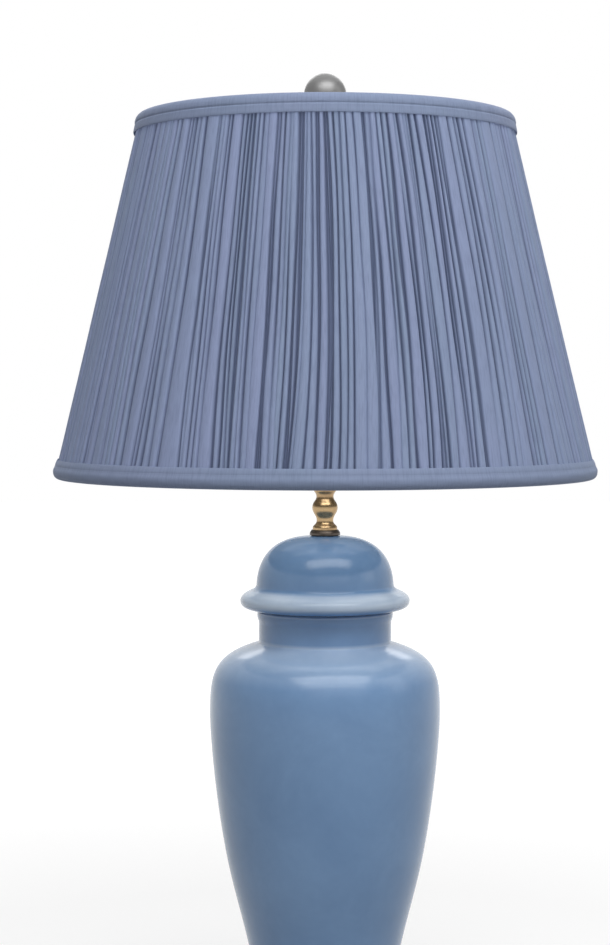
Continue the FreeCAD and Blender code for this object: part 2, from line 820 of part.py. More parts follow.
def make_holder_cap():
    """The bell-shaped cap screwed on the pipe, and the screw that locks it."""
    collar = size.cap_collar_radius
    collar_top = size.cap_collar_height
    wall = size.cap_wall
    inner = size.shell_radius + size.shell_clearance
    outer = inner + wall
    bore = size.pipe_radius + size.thread_clearance
    bell = size.cap_rim_bottom - collar_top
    cap = Piece("socket_cap", holder_level).turned([
        (bore, ZERO),
        (collar, ZERO),
        (collar, collar_top),
        Curve((collar + (outer - collar) * 0.6, collar_top + bell * 0.06),
              (outer, collar_top + bell * 0.4),
              (outer, size.cap_rim_bottom)),
        (outer, size.cap_rim_top),
        (inner, size.cap_rim_top),
        (inner, size.cap_rim_bottom),
        Curve((inner, collar_top + wall + bell * 0.4),
              (collar + (inner - collar) * 0.6, collar_top + wall + bell * 0.03),
              (collar, collar_top + wall)),
        (bore, collar_top + wall),
    ])
    cap.bore("XZ_Plane", (ZERO, size.set_screw_height), size.set_screw_radius + size.thread_clearance,
             -(collar + wall), collar - size.pipe_bore_radius)
    shank = collar - size.pipe_radius
    place = (ZERO, size.pipe_radius, holder_level + size.set_screw_height)
    Piece("socket_set_screw", place=place, rotation=BACKWARD).turned([
        (ZERO, ZERO),
        (size.set_screw_radius, ZERO),
        (size.set_screw_radius, shank),
        (size.set_screw_head_radius, shank),
        (size.set_screw_head_radius, shank + size.set_screw_head_height),
        (ZERO, shank + size.set_screw_head_height),
    ])


def make_holder_shell():
    """The outer shell with its rolled lip, and the insulating liner inside it."""
    outer = size.shell_radius
    wall = size.shell_wall
    height = size.shell_top - size.shell_bottom
    lip = size.bulb_cap_radius + size.terminal_head_height * 0.8
    shell = Piece("socket_shell", holder_level + size.shell_bottom).turned([
        (outer - wall, ZERO),
        (outer, ZERO),
        (outer, height),
        (lip, height),
        (lip, height - wall),
        (outer - wall, height - wall),
    ])
    shell.bore("XZ_Plane", (ZERO, size.knob_height - size.shell_bottom), size.shaft_hole_radius,
               ZERO, outer + wall)
    liner = washer("socket_shell_liner", holder_level + size.shell_bottom,
                   height - wall - size.shell_clearance, liner_radius - size.liner_wall, liner_radius)
    liner.bore("XZ_Plane", (ZERO, size.knob_height - size.shell_bottom), size.shaft_hole_radius,
               ZERO, outer)


def make_switch():
    """The switch block with its two terminals, its shaft and its ribbed knob."""
    height = size.switch_body_top - size.switch_body_bottom
    half = size.terminal_flat_width / 2
    flat = size.terminal_flat
    knob_rise = size.knob_height - size.switch_body_bottom
    screw = size.terminal_head_radius * 0.5
    depth = size.terminal_head_radius * 1.5
    bottom = holder_level + size.switch_body_bottom
    switch = Piece("switch_body", bottom).turned([
        (ZERO, ZERO), (switch_radius, ZERO), (switch_radius, height), (ZERO, height)])
    rim = switch_radius + size.drill_overrun
    run = size.drill_overrun
    switch.mill("XY_Plane", [(flat, -half), (rim, -half), (rim, half), (flat, half)], ZERO, height)
    switch.mill("XY_Plane", [(-rim, -half), (-flat, -half), (-flat, half), (-rim, half)], ZERO, height)
    hole = screw + size.thread_clearance
    switch.bore("YZ_Plane", (ZERO, knob_rise), hole, flat - depth - run, depth + run * 2)
    switch.bore("YZ_Plane", (ZERO, knob_rise), hole, -flat - run, depth + run * 2)
    shaft_start = switch_radius - size.shaft_depth
    switch.bore("XZ_Plane", (ZERO, knob_rise), size.shaft_radius + size.thread_clearance,
                shaft_start - size.inner_clearance, size.shaft_depth + run)
    for name, side, facing in (("terminal_screw_right", 1, RIGHTWARD),
                               ("terminal_screw_left", -1, LEFTWARD)):
        place = ((flat - depth) * side, ZERO, knob_level)
        Piece(name, place=place, rotation=facing).turned([
            (ZERO, ZERO),
            (screw, ZERO),
            (screw, depth),
            (size.terminal_head_radius, depth),
            (size.terminal_head_radius, depth + size.terminal_head_height),
            (ZERO, depth + size.terminal_head_height),
        ])
    reach = size.knob_start + size.shaft_in_knob - size.inner_clearance
    Piece("switch_shaft", place=(ZERO, -shaft_start, knob_level), rotation=FORWARD).turned([
        (ZERO, ZERO),
        (size.shaft_radius, ZERO),
        (size.shaft_radius, reach - shaft_start),
        (ZERO, reach - shaft_start),
    ])
    radius = size.knob_radius
    length = size.knob_length
    bore = size.shaft_radius + size.thread_clearance
    edge = size.knob_groove_radius
    knob = Piece("switch_knob", place=(ZERO, -size.knob_start, knob_level), rotation=FORWARD).turned([
        (bore, ZERO),
        (radius - edge, ZERO),
        (radius, edge),
        (radius, length - edge * 2),
        Curve((radius, length - edge), (radius - edge, length), (radius - edge * 2, length)),
        (ZERO, length),
        (ZERO, size.shaft_in_knob),
        (bore, size.shaft_in_knob),
    ])
    groove = knob.bore("XY_Plane", (radius, ZERO), edge, ZERO, length - edge * 3)
    knob.repeat(groove, size.knob_grooves)


def make_screw_shell():
    """The cup that takes the bulb's cap, and the contact at its bottom."""
    bore = size.screw_shell_bore_radius
    outer = bore + size.screw_shell_wall
    floor = size.screw_shell_wall
    level = holder_level + size.switch_body_top
    Piece("screw_shell", level).turned([
        (size.contact_hole_radius, ZERO),
        (outer, ZERO),
        (outer, size.screw_shell_height),
        (bore, size.screw_shell_height),
        (bore, floor),
        (size.contact_hole_radius, floor),
    ])
    Piece("centre_contact", level).turned([
        (ZERO, ZERO),
        (size.contact_radius, ZERO),
        (size.contact_radius, size.contact_height * 0.5),
        (size.contact_radius * 0.6, size.contact_height),
        (ZERO, size.contact_height),
    ])


# ---------------------------------------------------------------- bulb
bulb_level = holder_level + size.switch_body_top + size.contact_height + size.bulb_seat_gap


def make_bulb():
    """The bulb: contact tip, insulator, cap and hollow globe."""
    tip = size.bulb_tip_radius
    tip_height = size.bulb_tip_height
    Piece("bulb_tip", bulb_level).turned([
        (ZERO, ZERO),
        (tip * 0.7, ZERO),
        Curve((tip * 0.9, ZERO), (tip, tip_height * 0.5), (tip, tip_height)),
        (ZERO, tip_height),
    ])
    cap_radius = size.bulb_cap_radius
    cap_inner = cap_radius - size.bulb_cap_wall
    neck = cap_inner - size.inner_clearance
    Piece("bulb_insulator", bulb_level + tip_height).turned([
        (ZERO, ZERO),
        (tip * 1.2, ZERO),
        (neck, size.bulb_insulator_height),
        (ZERO, size.bulb_insulator_height),
    ])
    cap_bottom = tip_height + size.bulb_insulator_height
    Piece("bulb_cap", bulb_level + cap_bottom).turned(
        box_outline(cap_inner, cap_radius, ZERO, size.bulb_cap_height))
    glass = size.bulb_glass
    widest = size.bulb_widest
    radius = size.bulb_radius
    cap_top = cap_bottom + size.bulb_cap_height
    neck_bottom = cap_top - size.bulb_cap_height * 0.3
    swell = widest - cap_top
    crown = size.bulb_length - widest
    Piece("bulb_globe", bulb_level).turned([
        (neck - glass, neck_bottom),
        (neck, neck_bottom),
        (neck, cap_top),
        Curve((neck * 1.06, cap_top + swell * 0.35), (radius, cap_top + swell * 0.52), (radius, widest)),
        Curve((radius, widest + crown * 0.56), (radius * 0.56, size.bulb_length),
              (ZERO, size.bulb_length)),
        (ZERO, size.bulb_length - glass),
        Curve(((radius - glass) * 0.56, size.bulb_length - glass),
              (radius - glass, widest + (crown - glass) * 0.56),
              (radius - glass, widest)),
        Curve((radius - glass, cap_top + swell * 0.52),
              (neck * 1.06 - glass, cap_top + swell * 0.35),
              (neck - glass, cap_top)),
    ])


# ---------------------------------------------------------------- harp
def make_harp():
    """The harp: one bent wire with a top plate, a threaded stud and two ferrules."""
    reach = size.saddle_reach
    wide = size.harp_half_width
    wire_top = size.harp_height - size.harp_plate_height / 2
    foot = size.saddle_post_height
    Piece("harp_wire", holder_level).wire(
        [
            (reach, foot),
            (reach, size.harp_leg_top),
            (wide, size.harp_bow_bottom),
            (wide, wire_top),
            (-wide, wire_top),
            (-wide, size.harp_bow_bottom),
            (-reach, size.harp_leg_top),
            (-reach, foot),
        ],
        [size.harp_leg_bend, size.harp_leg_bend, size.harp_top_bend,
         size.harp_top_bend, size.harp_leg_bend, size.harp_leg_bend],
        size.harp_wire_radius, "XY_Plane", foot, (reach, ZERO))
    long = size.harp_plate_length / 2
    deep = size.harp_plate_width / 2
    plate = Piece("harp_top_plate", harp_seat - size.harp_plate_height)
    plate.slab([(-long, -deep), (long, -deep), (long, deep), (-long, deep)],
               ZERO, size.harp_plate_height)
    plate.bore("YZ_Plane", (ZERO, size.harp_plate_height / 2),
               size.harp_wire_radius + size.thread_clearance, -long - size.drill_overrun,
               size.harp_plate_length + size.drill_overrun * 2)
    tip = size.stud_radius * 0.15
    Piece("harp_stud", harp_seat).turned([
        (ZERO, ZERO),
        (size.stud_radius, ZERO),
        (size.stud_radius, size.stud_height - tip),
        (size.stud_radius - tip, size.stud_height),
        (ZERO, size.stud_height),
    ])
    edge = size.ferrule_radius * 0.1
    for name, side in (("harp_ferrule_right", reach), ("harp_ferrule_left", -reach)):
        Piece(name, place=(side, ZERO, holder_level + size.saddle_collar_top)).turned([
            (size.ferrule_bore_radius, ZERO),
            (size.ferrule_radius - edge, ZERO),
            (size.ferrule_radius, edge),
            (size.ferrule_radius, size.ferrule_length - edge),
            (size.ferrule_radius - edge, size.ferrule_length),
            (size.ferrule_bore_radius, size.ferrule_length),
        ])


# ---------------------------------------------------------------- shade
wire = size.frame_wire_radius
cloth_inside = size.pleat_depth + size.cloth_thickness
frame_inset = cloth_inside + size.cloth_gap + wire
lining_inset = frame_inset + wire + size.cloth_gap
trim_inset = lining_inset + size.cloth_thickness + size.cloth_gap
ring_setback = size.trim_thickness + size.cloth_gap + wire
top_ring_level = shade_top - ring_setback
bottom_ring_level = shade_bottom + ring_setback
shade_spread = size.shade_bottom_radius - size.shade_top_radius


def crest(level):
    """The radius of the folds' crests at a level of the shade."""
    return size.shade_top_radius + shade_spread * ((shade_top - level) / size.shade_height)


top_ring_radius = crest(top_ring_level) - frame_inset
arm_rise_end = size.shade_top_radius - size.arm_rise_inset


def make_spider():
    """The washer on the harp and the three arms that reach the top ring."""
    washer("spider_washer", harp_seat, size.spider_washer_thickness,
           size.spider_hole_radius, size.spider_washer_radius)
    low = size.spider_washer_thickness + wire + size.thread_clearance
    high = top_ring_level - harp_seat
    end = top_ring_radius - wire - size.cloth_gap
    corners = [
        (size.arm_start_radius, low),
        (arm_rise_end - size.arm_rise_run, low),
        (arm_rise_end, high),
        (end, high),
    ]
    for number in range(ARMS):
        angle = FIRST_ARM_ANGLE + 360 / ARMS * number
        Piece(f"spider_arm_{number + 1}", harp_seat, rotation=about_z(angle)).wire(
            corners, [size.arm_bend, size.arm_bend], wire,
            "YZ_Plane", size.arm_start_radius, (ZERO, low))


def make_frame():
    """The two wire rings of the shade and the ribs between them."""
    for name, level in (("shade_top_ring", top_ring_level), ("shade_bottom_ring", bottom_ring_level)):
        Piece(name, level).ring((crest(level) - frame_inset, ZERO), wire)
    low = bottom_ring_level + wire + size.cloth_gap
    high = top_ring_level - wire - size.cloth_gap
    foot = (crest(low) - frame_inset, ZERO)
    head = (crest(high) - frame_inset, high - low)
    for number in range(RIBS):
        angle = FIRST_RIB_ANGLE + 360 / RIBS * number
        Piece(f"shade_rib_{number + 1}", low, rotation=about_z(angle)).wire(
            [foot, head], [], wire, "XY_Plane", ZERO, foot)


def make_lining():
    """The smooth cone of fabric inside the frame."""
    low = shade_bottom + size.trim_thickness + size.cloth_gap
    high = top_ring_level - wire - size.cloth_gap * 2
    inner = lining_inset + size.cloth_thickness
    Piece("shade_lining", low).turned([
        (crest(low) - inner, ZERO),
        (crest(low) - lining_inset, ZERO),
        (crest(high) - lining_inset, high - low),
        (crest(high) - inner, high - low),
    ])


def make_trims():
    """The fabric bindings that wrap over the shade's two edges."""
    thick = size.trim_thickness
    outside = size.cloth_gap + thick
    inside = trim_inset + thick
    height = size.top_trim_height
    low = shade_top - height
    lap = shade_top - size.trim_turn_in
    top_trim = Piece("shade_top_trim", low, rotation=about_z(FIRST_ARM_ANGLE + 90)).turned([
        (crest(low) + size.cloth_gap, ZERO),
        (crest(low) + outside, ZERO),
        (crest(shade_top) + outside, height),
        (crest(shade_top) - inside, height),
        (crest(lap) - inside, height - size.trim_turn_in),
        (crest(lap) - trim_inset, height - size.trim_turn_in),
        (crest(shade_top - thick) - trim_inset, height - thick),
        (crest(shade_top - thick) + size.cloth_gap, height - thick),
    ])
    notch = top_trim.bore("XZ_Plane", (ZERO, top_ring_level - low), wire + size.cloth_gap * 0.6,
                          arm_rise_end, top_ring_radius - arm_rise_end)
    top_trim.repeat(notch, as_length(ARMS))
    height = size.bottom_trim_height
    high = shade_bottom + height
    lap = shade_bottom + size.trim_turn_in
    Piece("shade_bottom_trim", shade_bottom).turned([
        (crest(shade_bottom) - inside, ZERO),
        (crest(shade_bottom) + outside, ZERO),
        (crest(high) + outside, height),
        (crest(high) + size.cloth_gap, height),
        (crest(shade_bottom + thick) + size.cloth_gap, thick),
        (crest(shade_bottom + thick) - trim_inset, thick),
        (crest(lap) - trim_inset, size.trim_turn_in),
        (crest(lap) - inside, size.trim_turn_in),
    ])


def fold_angles(count):
    """The angles where folds meet: wide and narrow folds in an uneven run."""
    widths = [1 + 0.34 * math.sin(2.3 * fold) + 0.22 * math.sin(0.71 * fold + 1)
              for fold in range(count)]
    angles = [0.0]
    for width in widths:
        angles.append(angles[-1] + width * 2 * math.pi / sum(widths))
    return angles[:-1]


def folded_wire(radius, depth, level, angles):
    """One ring of arcs: each fold bulges to the radius and dips to a valley beside it."""
    closed = angles + [angles[0] + 2 * math.pi]
    chords = [radius * (after - before) for before, after in zip(closed, closed[1:])]
    dips = [min(depth, 0.4 * min(chords[fold - 1], chords[fold])) for fold in range(len(chords))]
    dips.append(dips[0])

    def place(angle, reach):
        return FreeCAD.Vector(reach * math.cos(angle), reach * math.sin(angle), level)

    edges = []
    for fold, (before, after) in enumerate(zip(closed, closed[1:])):
        first = place(before, radius - dips[fold])
        crown = place((before + after) / 2, radius)
        last = place(after, radius - dips[fold + 1])
        edges.append(Part.Arc(first, crown, last).toShape())
    return Part.Wire(edges)


def make_cover():
    """The gathered cloth: folds that run from ring to ring round the frame."""
    low = shade_bottom + size.trim_thickness + size.cloth_gap
    high = shade_top - size.trim_thickness - size.cloth_gap
    height = (high - low).value
    angles = fold_angles(int(size.pleats.value))
    depth = size.pleat_depth.value
    rings = [folded_wire(crest(low).value, depth, 0.0, angles),
             folded_wire(crest(high).value, depth, height, angles)]
    outside = Part.makeLoft(rings, True, True)
    inside = Part.makeCone(crest(low).value - cloth_inside.value,
                           crest(high).value - cloth_inside.value, height)
    cover = document.addObject("Part::Feature", "shade_cover")
    cover.Shape = outside.cut(inside)
    set_place(cover, (ZERO, ZERO, low), UPRIGHT)
    keep(cover, "shade_cover")


# ---------------------------------------------------------------- finial
def make_finial():
    """The finial: a turned base that screws on the stud, and the ball on it."""
    foot = size.finial_base_radius
    neck = size.finial_neck_radius
    cup = size.finial_cup_radius
    height = size.finial_base_height
    bore = size.stud_radius + size.thread_clearance
    Piece("finial_base", spider_top).turned([
        (bore, ZERO),
        (foot, ZERO),
        (foot, height * 0.15),
        Curve((foot, height * 0.34), (neck, height * 0.36), (neck, height * 0.56)),
        Curve((neck, height * 0.74), (cup, height * 0.8), (cup, height * 0.95)),
        (cup, height),
        (ZERO, height),
        (ZERO, size.finial_bore_depth),
        (bore, size.finial_bore_depth),
    ])
    ball = size.finial_ball_radius
    flat = size.finial_flat_radius
    centre = (ball * ball - flat * flat).root()
    Piece("finial_ball", spider_top + height).turned([
        (ZERO, ZERO),
        (flat, ZERO),
        Arc((ball, centre), (ZERO, centre + ball)),
    ])


# ---------------------------------------------------------------- build
def check_document():
    """Stop if any object failed, any cut removed nothing or any sub-part is not sound."""
    for item in document.Objects:
        if "Invalid" in item.State or "Error" in item.State:
            raise RuntimeError(f"{item.Name} failed: {item.State}")
        if item.TypeId == "PartDesign::Pocket" and item.BaseFeature is not None:
            if item.Shape.Volume >= item.BaseFeature.Shape.Volume:
                raise RuntimeError(f"{item.Name} cuts nothing")
    for item in pieces:
        if item.Shape.isNull() or not item.Shape.isValid():
            raise RuntimeError(f"{item.Label} has no sound shape")
        if len(item.Shape.Solids) != 1:
            raise RuntimeError(f"{item.Label} has {len(item.Shape.Solids)} solids")


def export_pieces(folder):
    """Write each sub-part to its own file."""
    os.makedirs(folder, exist_ok=True)
    for item in pieces:
        item.Shape.exportStep(os.path.join(folder, item.Label + ".step"))


for make in (make_jar, make_lid, make_jar_seals, make_pipe_and_clamp, make_bushings, make_grommet,
             make_column, make_saddle, make_holder_cap, make_holder_shell, make_switch,
             make_screw_shell, make_bulb, make_harp, make_spider, make_frame, make_lining,
             make_trims, make_cover, make_finial):
    make()
document.recompute()
check_document()
export_pieces("parts")
for item in pieces:
    box = item.Shape.BoundBox
    print(f"{item.Label:22s} volume {item.Shape.Volume:12.1f}  z {box.ZMin:8.2f} to {box.ZMax:8.2f}")
print(f"{len(pieces)} sub-parts, {shade_top.value:.1f} mm to the top of the shade")
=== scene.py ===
"""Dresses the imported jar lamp: its gathered cloth shade, glazed jar and turned metal.

Sizes in the classes are millimetres, as a workshop drawing gives them; meshes are in metres.
Every new piece is a surface worked out on a grid of two parameters, mostly a section carried
once round the lamp's axis.
"""

import json
import logging
import math
from dataclasses import dataclass
from enum import Enum
from typing import Any, Optional, Sequence

import bpy
import numpy as np
from mathutils import Matrix


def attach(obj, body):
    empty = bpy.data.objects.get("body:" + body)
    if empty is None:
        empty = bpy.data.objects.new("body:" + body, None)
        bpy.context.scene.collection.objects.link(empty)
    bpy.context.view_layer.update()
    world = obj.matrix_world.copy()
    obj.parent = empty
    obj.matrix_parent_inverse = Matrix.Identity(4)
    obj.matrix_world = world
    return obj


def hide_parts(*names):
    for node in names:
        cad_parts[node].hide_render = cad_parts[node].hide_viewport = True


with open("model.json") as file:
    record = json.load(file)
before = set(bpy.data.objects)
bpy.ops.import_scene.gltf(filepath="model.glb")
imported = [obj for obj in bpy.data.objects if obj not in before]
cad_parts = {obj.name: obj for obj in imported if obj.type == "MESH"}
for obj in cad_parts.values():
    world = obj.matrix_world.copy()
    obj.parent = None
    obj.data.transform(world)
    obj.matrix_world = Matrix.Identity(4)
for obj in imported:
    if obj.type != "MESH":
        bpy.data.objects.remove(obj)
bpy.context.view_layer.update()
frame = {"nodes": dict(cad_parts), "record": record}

MM = 0.001
TURN = 2.0 * math.pi
PHOTO_HEIGHT = 945
SENSOR_WIDTH = 36.0
CORNER_TURN = math.radians(20)
CORNER_SHARE = 0.4
CORNER_POINTS = 7
POINT_GAP = 0.35

log = logging.getLogger("jar_lamp")

Colour = tuple[float, float, float]
Pair = tuple[float, float]


class Slot(Enum):
    """The record's material slots."""

    JAR_GLAZE = "jar_glaze"
    SHADE_CLOTH = "shade_cloth"
    BINDING_CLOTH = "binding_cloth"
    LINING_CLOTH = "lining_cloth"
    BRIGHT_BRASS = "bright_brass"
    DARK_BRASS = "dark_brass"
    NICKEL = "nickel"
    ZINC = "zinc"
    FRAME_WIRE = "frame_wire"
    ALUMINIUM = "aluminium"
    BAKELITE = "bakelite"
    LINER_BOARD = "liner_board"
    BUSHING_PLASTIC = "bushing_plastic"
    SEAL_RUBBER = "seal_rubber"
    FOOT_FELT = "foot_felt"
    FROSTED_GLASS = "frosted_glass"


class Space(Enum):
    """Where a pattern takes its place from."""

    OBJECT = "Object"
    CLOTH = "UV"


# ------------------------------------------------------------------ sections and skins
class Outline:
    """A section through a turned piece: points of (radius, level) in millimetres."""

    def __init__(self, radius: float, level: float) -> None:
        """Start the section at one point."""
        self.runs: list[np.ndarray] = [np.array([[radius, level]], float)]

    def line(self, *ends: Pair) -> "Outline":
        """Add straight runs through the given points.

        Args:
            ends: The points that the runs end at.

        Returns:
            The outline itself.
        """
        self.runs.append(np.array(ends, float))
        return self

    def curve(self, first: Pair, second: Pair, end: Pair, steps: int = 18) -> "Outline":
        """Add a cubic curve: the four control points weighted by the cubic Bernstein terms.

        Args:
            first: The control point near the start.
            second: The control point near the end.
            end: The curve's last point.
            steps: How many points it gets.

        Returns:
            The outline itself.
        """
        t = np.linspace(0.0, 1.0, steps + 1)[1:, None]
        start = self.runs[-1][-1]
        points = ((1 - t) ** 3 * start + 3 * (1 - t) ** 2 * t * np.array(first)
                  + 3 * (1 - t) * t ** 2 * np.array(second) + t ** 3 * np.array(end))
        self.runs.append(points)
        return self

    def points(self) -> np.ndarray:
        """Return the section's points as one array of rows."""
        return np.vstack(self.runs)


def soften(points: np.ndarray, radius: float, closed: bool = True) -> np.ndarray:
    """Round the sharp corners of a section.

    A corner that turns more than the corner turn becomes the quadratic curve that starts and
    ends one radius away on its two edges, or the corner share of the shorter edge, and has the
    corner as its middle control point.

    Args:
        points: The section, one point a row.
        radius: How far the rounding reaches along each edge.
        closed: Whether the last point joins the first.

    Returns:
        The section with its corners rounded.
    """
    back = np.roll(points, 1, axis=0) - points
    ahead = np.roll(points, -1, axis=0) - points
    back_length = np.maximum(np.linalg.norm(back, axis=1), 1e-9)
    ahead_length = np.maximum(np.linalg.norm(ahead, axis=1), 1e-9)
    cosine = -(back * ahead).sum(axis=1) / (back_length * ahead_length)
    sharp = np.arccos(np.clip(cosine, -1.0, 1.0)) > CORNER_TURN
    if not closed:
        sharp[[0, -1]] = False
    reach = np.minimum(radius, CORNER_SHARE * np.minimum(back_length, ahead_length))
    start = points + back * (reach / back_length)[:, None]
    end = points + ahead * (reach / ahead_length)[:, None]
    t = np.linspace(0.0, 1.0, CORNER_POINTS)[None, :, None]
    fans = (1 - t) ** 2 * start[:, None] + 2 * t * (1 - t) * points[:, None] + t ** 2 * end[:, None]
    fans[~sharp, 0] = points[~sharp]
    used = sharp[:, None] | (np.arange(CORNER_POINTS) == 0)[None, :]
    return fans[used]


def refine(points: np.ndarray, step: float, closed: bool = True) -> np.ndarray:
    """Put more points on the long edges of a section, by its length along the outline.

    Args:
        points: The section, one point a row.
        step: The longest edge wanted.
        closed: Whether the last point joins the first.

    Returns:
        The section with every old point and new ones about a step apart.
    """
    ring = np.vstack([points, points[:1]]) if closed else points
    along = np.concatenate([[0.0], np.cumsum(np.linalg.norm(np.diff(ring, axis=0), axis=1))])
    extra = np.arange(step, along[-1], step)
    nearest = np.abs(along[np.searchsorted(along, extra).clip(0, len(along) - 1)] - extra)
    before = np.abs(along[(np.searchsorted(along, extra) - 1).clip(0)] - extra)
    extra = extra[np.minimum(nearest, before) > POINT_GAP * step]
    places = np.sort(np.concatenate([along, extra]))
    places = places[np.concatenate([[True], np.diff(places) > 1e-6])]
    if closed:
        places = places[:-1]
    return np.column_stack([np.interp(places, along, ring[:, axis]) for axis in (0, 1)])


def bend_of(points: np.ndarray, closed: bool = True) -> np.ndarray:
    """Return how sharply a section turns outwards at each point, from 0 to 1.

    It is the turn of the edges at the point over half the two edges' length, so the inverse of
    the radius there, set against a radius of one millimetre and smoothed over nine points.

    Args:
        points: The section, one point a row.
        closed: Whether the last point joins the first.

    Returns:
        One number for each point.
    """
    ahead = np.roll(points, -1, axis=0) - points
    back = points - np.roll(points, 1, axis=0)
    cross = back[:, 0] * ahead[:, 1] - back[:, 1] * ahead[:, 0]
    turn = np.arctan2(cross, (back * ahead).sum(axis=1))
    length = 0.5 * (np.linalg.norm(ahead, axis=1) + np.linalg.norm(back, axis=1))
    bend = np.clip(turn / np.maximum(length, 0.05), 0.0, 1.0)
    if not closed:
        bend[[0, -1]] = 0.0
    kernel = np.hanning(9) / np.hanning(9).sum()
    padded = np.concatenate([bend[-4:], bend, bend[:4]])
    return np.convolve(padded, kernel, mode="valid")


@dataclass
class Skin:
    """A surface on a grid of rows along a section and columns round the axis, in metres."""

    grid: np.ndarray
    wrap_rows: bool = False
    start_pole: Optional[np.ndarray] = None
    end_pole: Optional[np.ndarray] = None
    marks: Optional[dict[str, np.ndarray]] = None
    cloth: Optional[tuple[np.ndarray, np.ndarray]] = None

    def faces(self) -> tuple[np.ndarray, np.ndarray]:
        """Number the corners of the faces.

        Corner (row, column) has number row times columns plus column, columns close round the
        axis, and a pole is one more vertex that a fan of triangles closes on.

        Returns:
            The quads and the triangles, one face a row.
        """
        rows, columns = self.grid.shape[:2]
        low = np.arange(rows if self.wrap_rows else rows - 1)
        high = (low + 1) % rows
        left = np.arange(columns)
        right = (left + 1) % columns
        quads = np.stack([low[:, None] * columns + left, low[:, None] * columns + right,
                          high[:, None] * columns + right, high[:, None] * columns + left],
                         axis=-1).reshape(-1, 4)
        fans = []
        count = rows * columns
        if self.start_pole is not None:
            fans.append(np.column_stack([np.full(columns, count), right, left]))
            count += 1
        if self.end_pole is not None:
            last = (rows - 1) * columns
            fans.append(np.column_stack([np.full(columns, count), last + left, last + right]))
        return quads, np.vstack(fans) if fans else np.zeros((0, 3), int)

    def make(self, name: str) -> bpy.types.Object:
        """Make the object: vertices, faces, smooth shading, marks and the cloth's own map.

        Args:
            name: The piece's name.

        Returns:
            The new object, linked to the scene.
        """
        poles = [p for p in (self.start_pole, self.end_pole) if p is not None]
        vertices = np.vstack([self.grid.reshape(-1, 3), *[np.reshape(p, (1, 3)) for p in poles]])
        quads, fans = self.faces()
        mesh = bpy.data.meshes.new(name)
        mesh.vertices.add(len(vertices))
        mesh.vertices.foreach_set("co", vertices.astype(np.float32).ravel())
        mesh.loops.add(quads.size + fans.size)
        mesh.loops.foreach_set("vertex_index", np.concatenate([quads.ravel(), fans.ravel()]))
        starts = np.concatenate([np.arange(len(quads)) * 4, quads.size + np.arange(len(fans)) * 3])
        mesh.polygons.add(len(starts))
        mesh.polygons.foreach_set("loop_start", starts)
        mesh.polygons.foreach_set("use_smooth", np.ones(len(starts), bool))
        mesh.update(calc_edges=True)
        for title, values in (self.marks or {}).items():
            layer = mesh.attributes.new(title, "FLOAT", "POINT")
            flat = np.concatenate([np.broadcast_to(values, self.grid.shape[:2]).ravel(),
                                   np.zeros(len(poles))])
            layer.data.foreach_set("value", flat.astype(np.float32))
        if self.cloth is not None:
            across, along = self.cloth
            rows, columns = self.grid.shape[:2]
            low = np.arange(rows if self.wrap_rows else rows - 1)
            u = np.stack([across[:-1], across[1:], across[1:], across[:-1]], axis=-1)
            v = np.stack([along[low], along[low], along[low + 1], along[low + 1]], axis=-1)
            corners = np.empty((len(low), columns, 4, 2), np.float32)
            corners[..., 0] = u[None]
            corners[..., 1] = v[:, None]
            layer = mesh.uv_layers.new(name="cloth")
            layer.data.foreach_set("uv", corners.ravel())
        made = bpy.data.objects.new(name, mesh)
        bpy.context.scene.collection.objects.link(made)
        return made


def turned(points: np.ndarray, columns: int, lift: float = 0.0, sway: float = 0.0,
           closed: bool = True, marks: Optional[dict[str, np.ndarray]] = None) -> Skin:
    """Carry a section once round the upright axis.

    A point (radius, level) goes to radius times the cosine and sine of the angle, at its level.
    A hand-made piece sways: its radius changes by the sway times the sum of a wave of two and
    a wave of three turns round, whose phase drifts with the level.

    Args:
        points: The section in millimetres, outside on the right of its direction.
        columns: How many steps it takes round.
        lift: The level of the section's zero, in millimetres.
        sway: The unevenness of the radius, in millimetres.
        closed: Whether the section is a ring; if not, its ends lie on the axis.
        marks: Numbers for each point of the section, kept as attributes.

    Returns:
        The surface, with poles where an open section meets the axis.
    """
    angle = np.linspace(0.0, TURN, columns, endpoint=False)[None, :]
    body = points if closed else points[1:-1]
    radius, level = body[:, :1], body[:, 1:]
    wave = np.sin(2 * angle + level * 0.011) + 0.6 * np.sin(3 * angle + 1.3 - level * 0.017)
    reach = (radius + sway * wave * np.minimum(1.0, radius / 40.0)) * MM
    height = np.broadcast_to((level + lift) * MM, reach.shape)
    grid = np.stack([reach * np.cos(angle), reach * np.sin(angle), height], axis=-1)
    rings = {title: (values if closed else values[1:-1])[:, None]
             for title, values in (marks or {}).items()}
    if closed:
        return Skin(grid, wrap_rows=True, marks=rings)
    ends = [np.array([0.0, 0.0, (end[1] + lift) * MM]) for end in (points[0], points[-1])]
    return Skin(grid, start_pole=ends[0], end_pole=ends[1], marks=rings)


def rod(name: str, start: np.ndarray, end: np.ndarray, radius: float) -> bpy.types.Object:
    """Make a closed round rod between two points, to cut a hole with.

    A point of its skin is the axis point plus the radius times the cosine and sine of the
    angle along two directions square to the axis.

    Args:
        name: The object's name.
        start: One end of its axis, in metres.
        end: The other end.
        radius: Its radius, in metres.

    Returns:
        The object.
    """
    axis = (end - start) / np.linalg.norm(end - start)
    side = np.cross(axis, [0.0, 0.0, 1.0] if abs(axis[2]) < 0.9 else [1.0, 0.0, 0.0])
    side /= np.linalg.norm(side)
    other = np.cross(axis, side)
    angle = np.linspace(0.0, TURN, 40, endpoint=False)[:, None]
    ring = radius * (np.cos(angle) * side + np.sin(angle) * other)
    grid = np.stack([start + ring, end + ring])
    return Skin(grid, start_pole=start, end_pole=end).make(name)


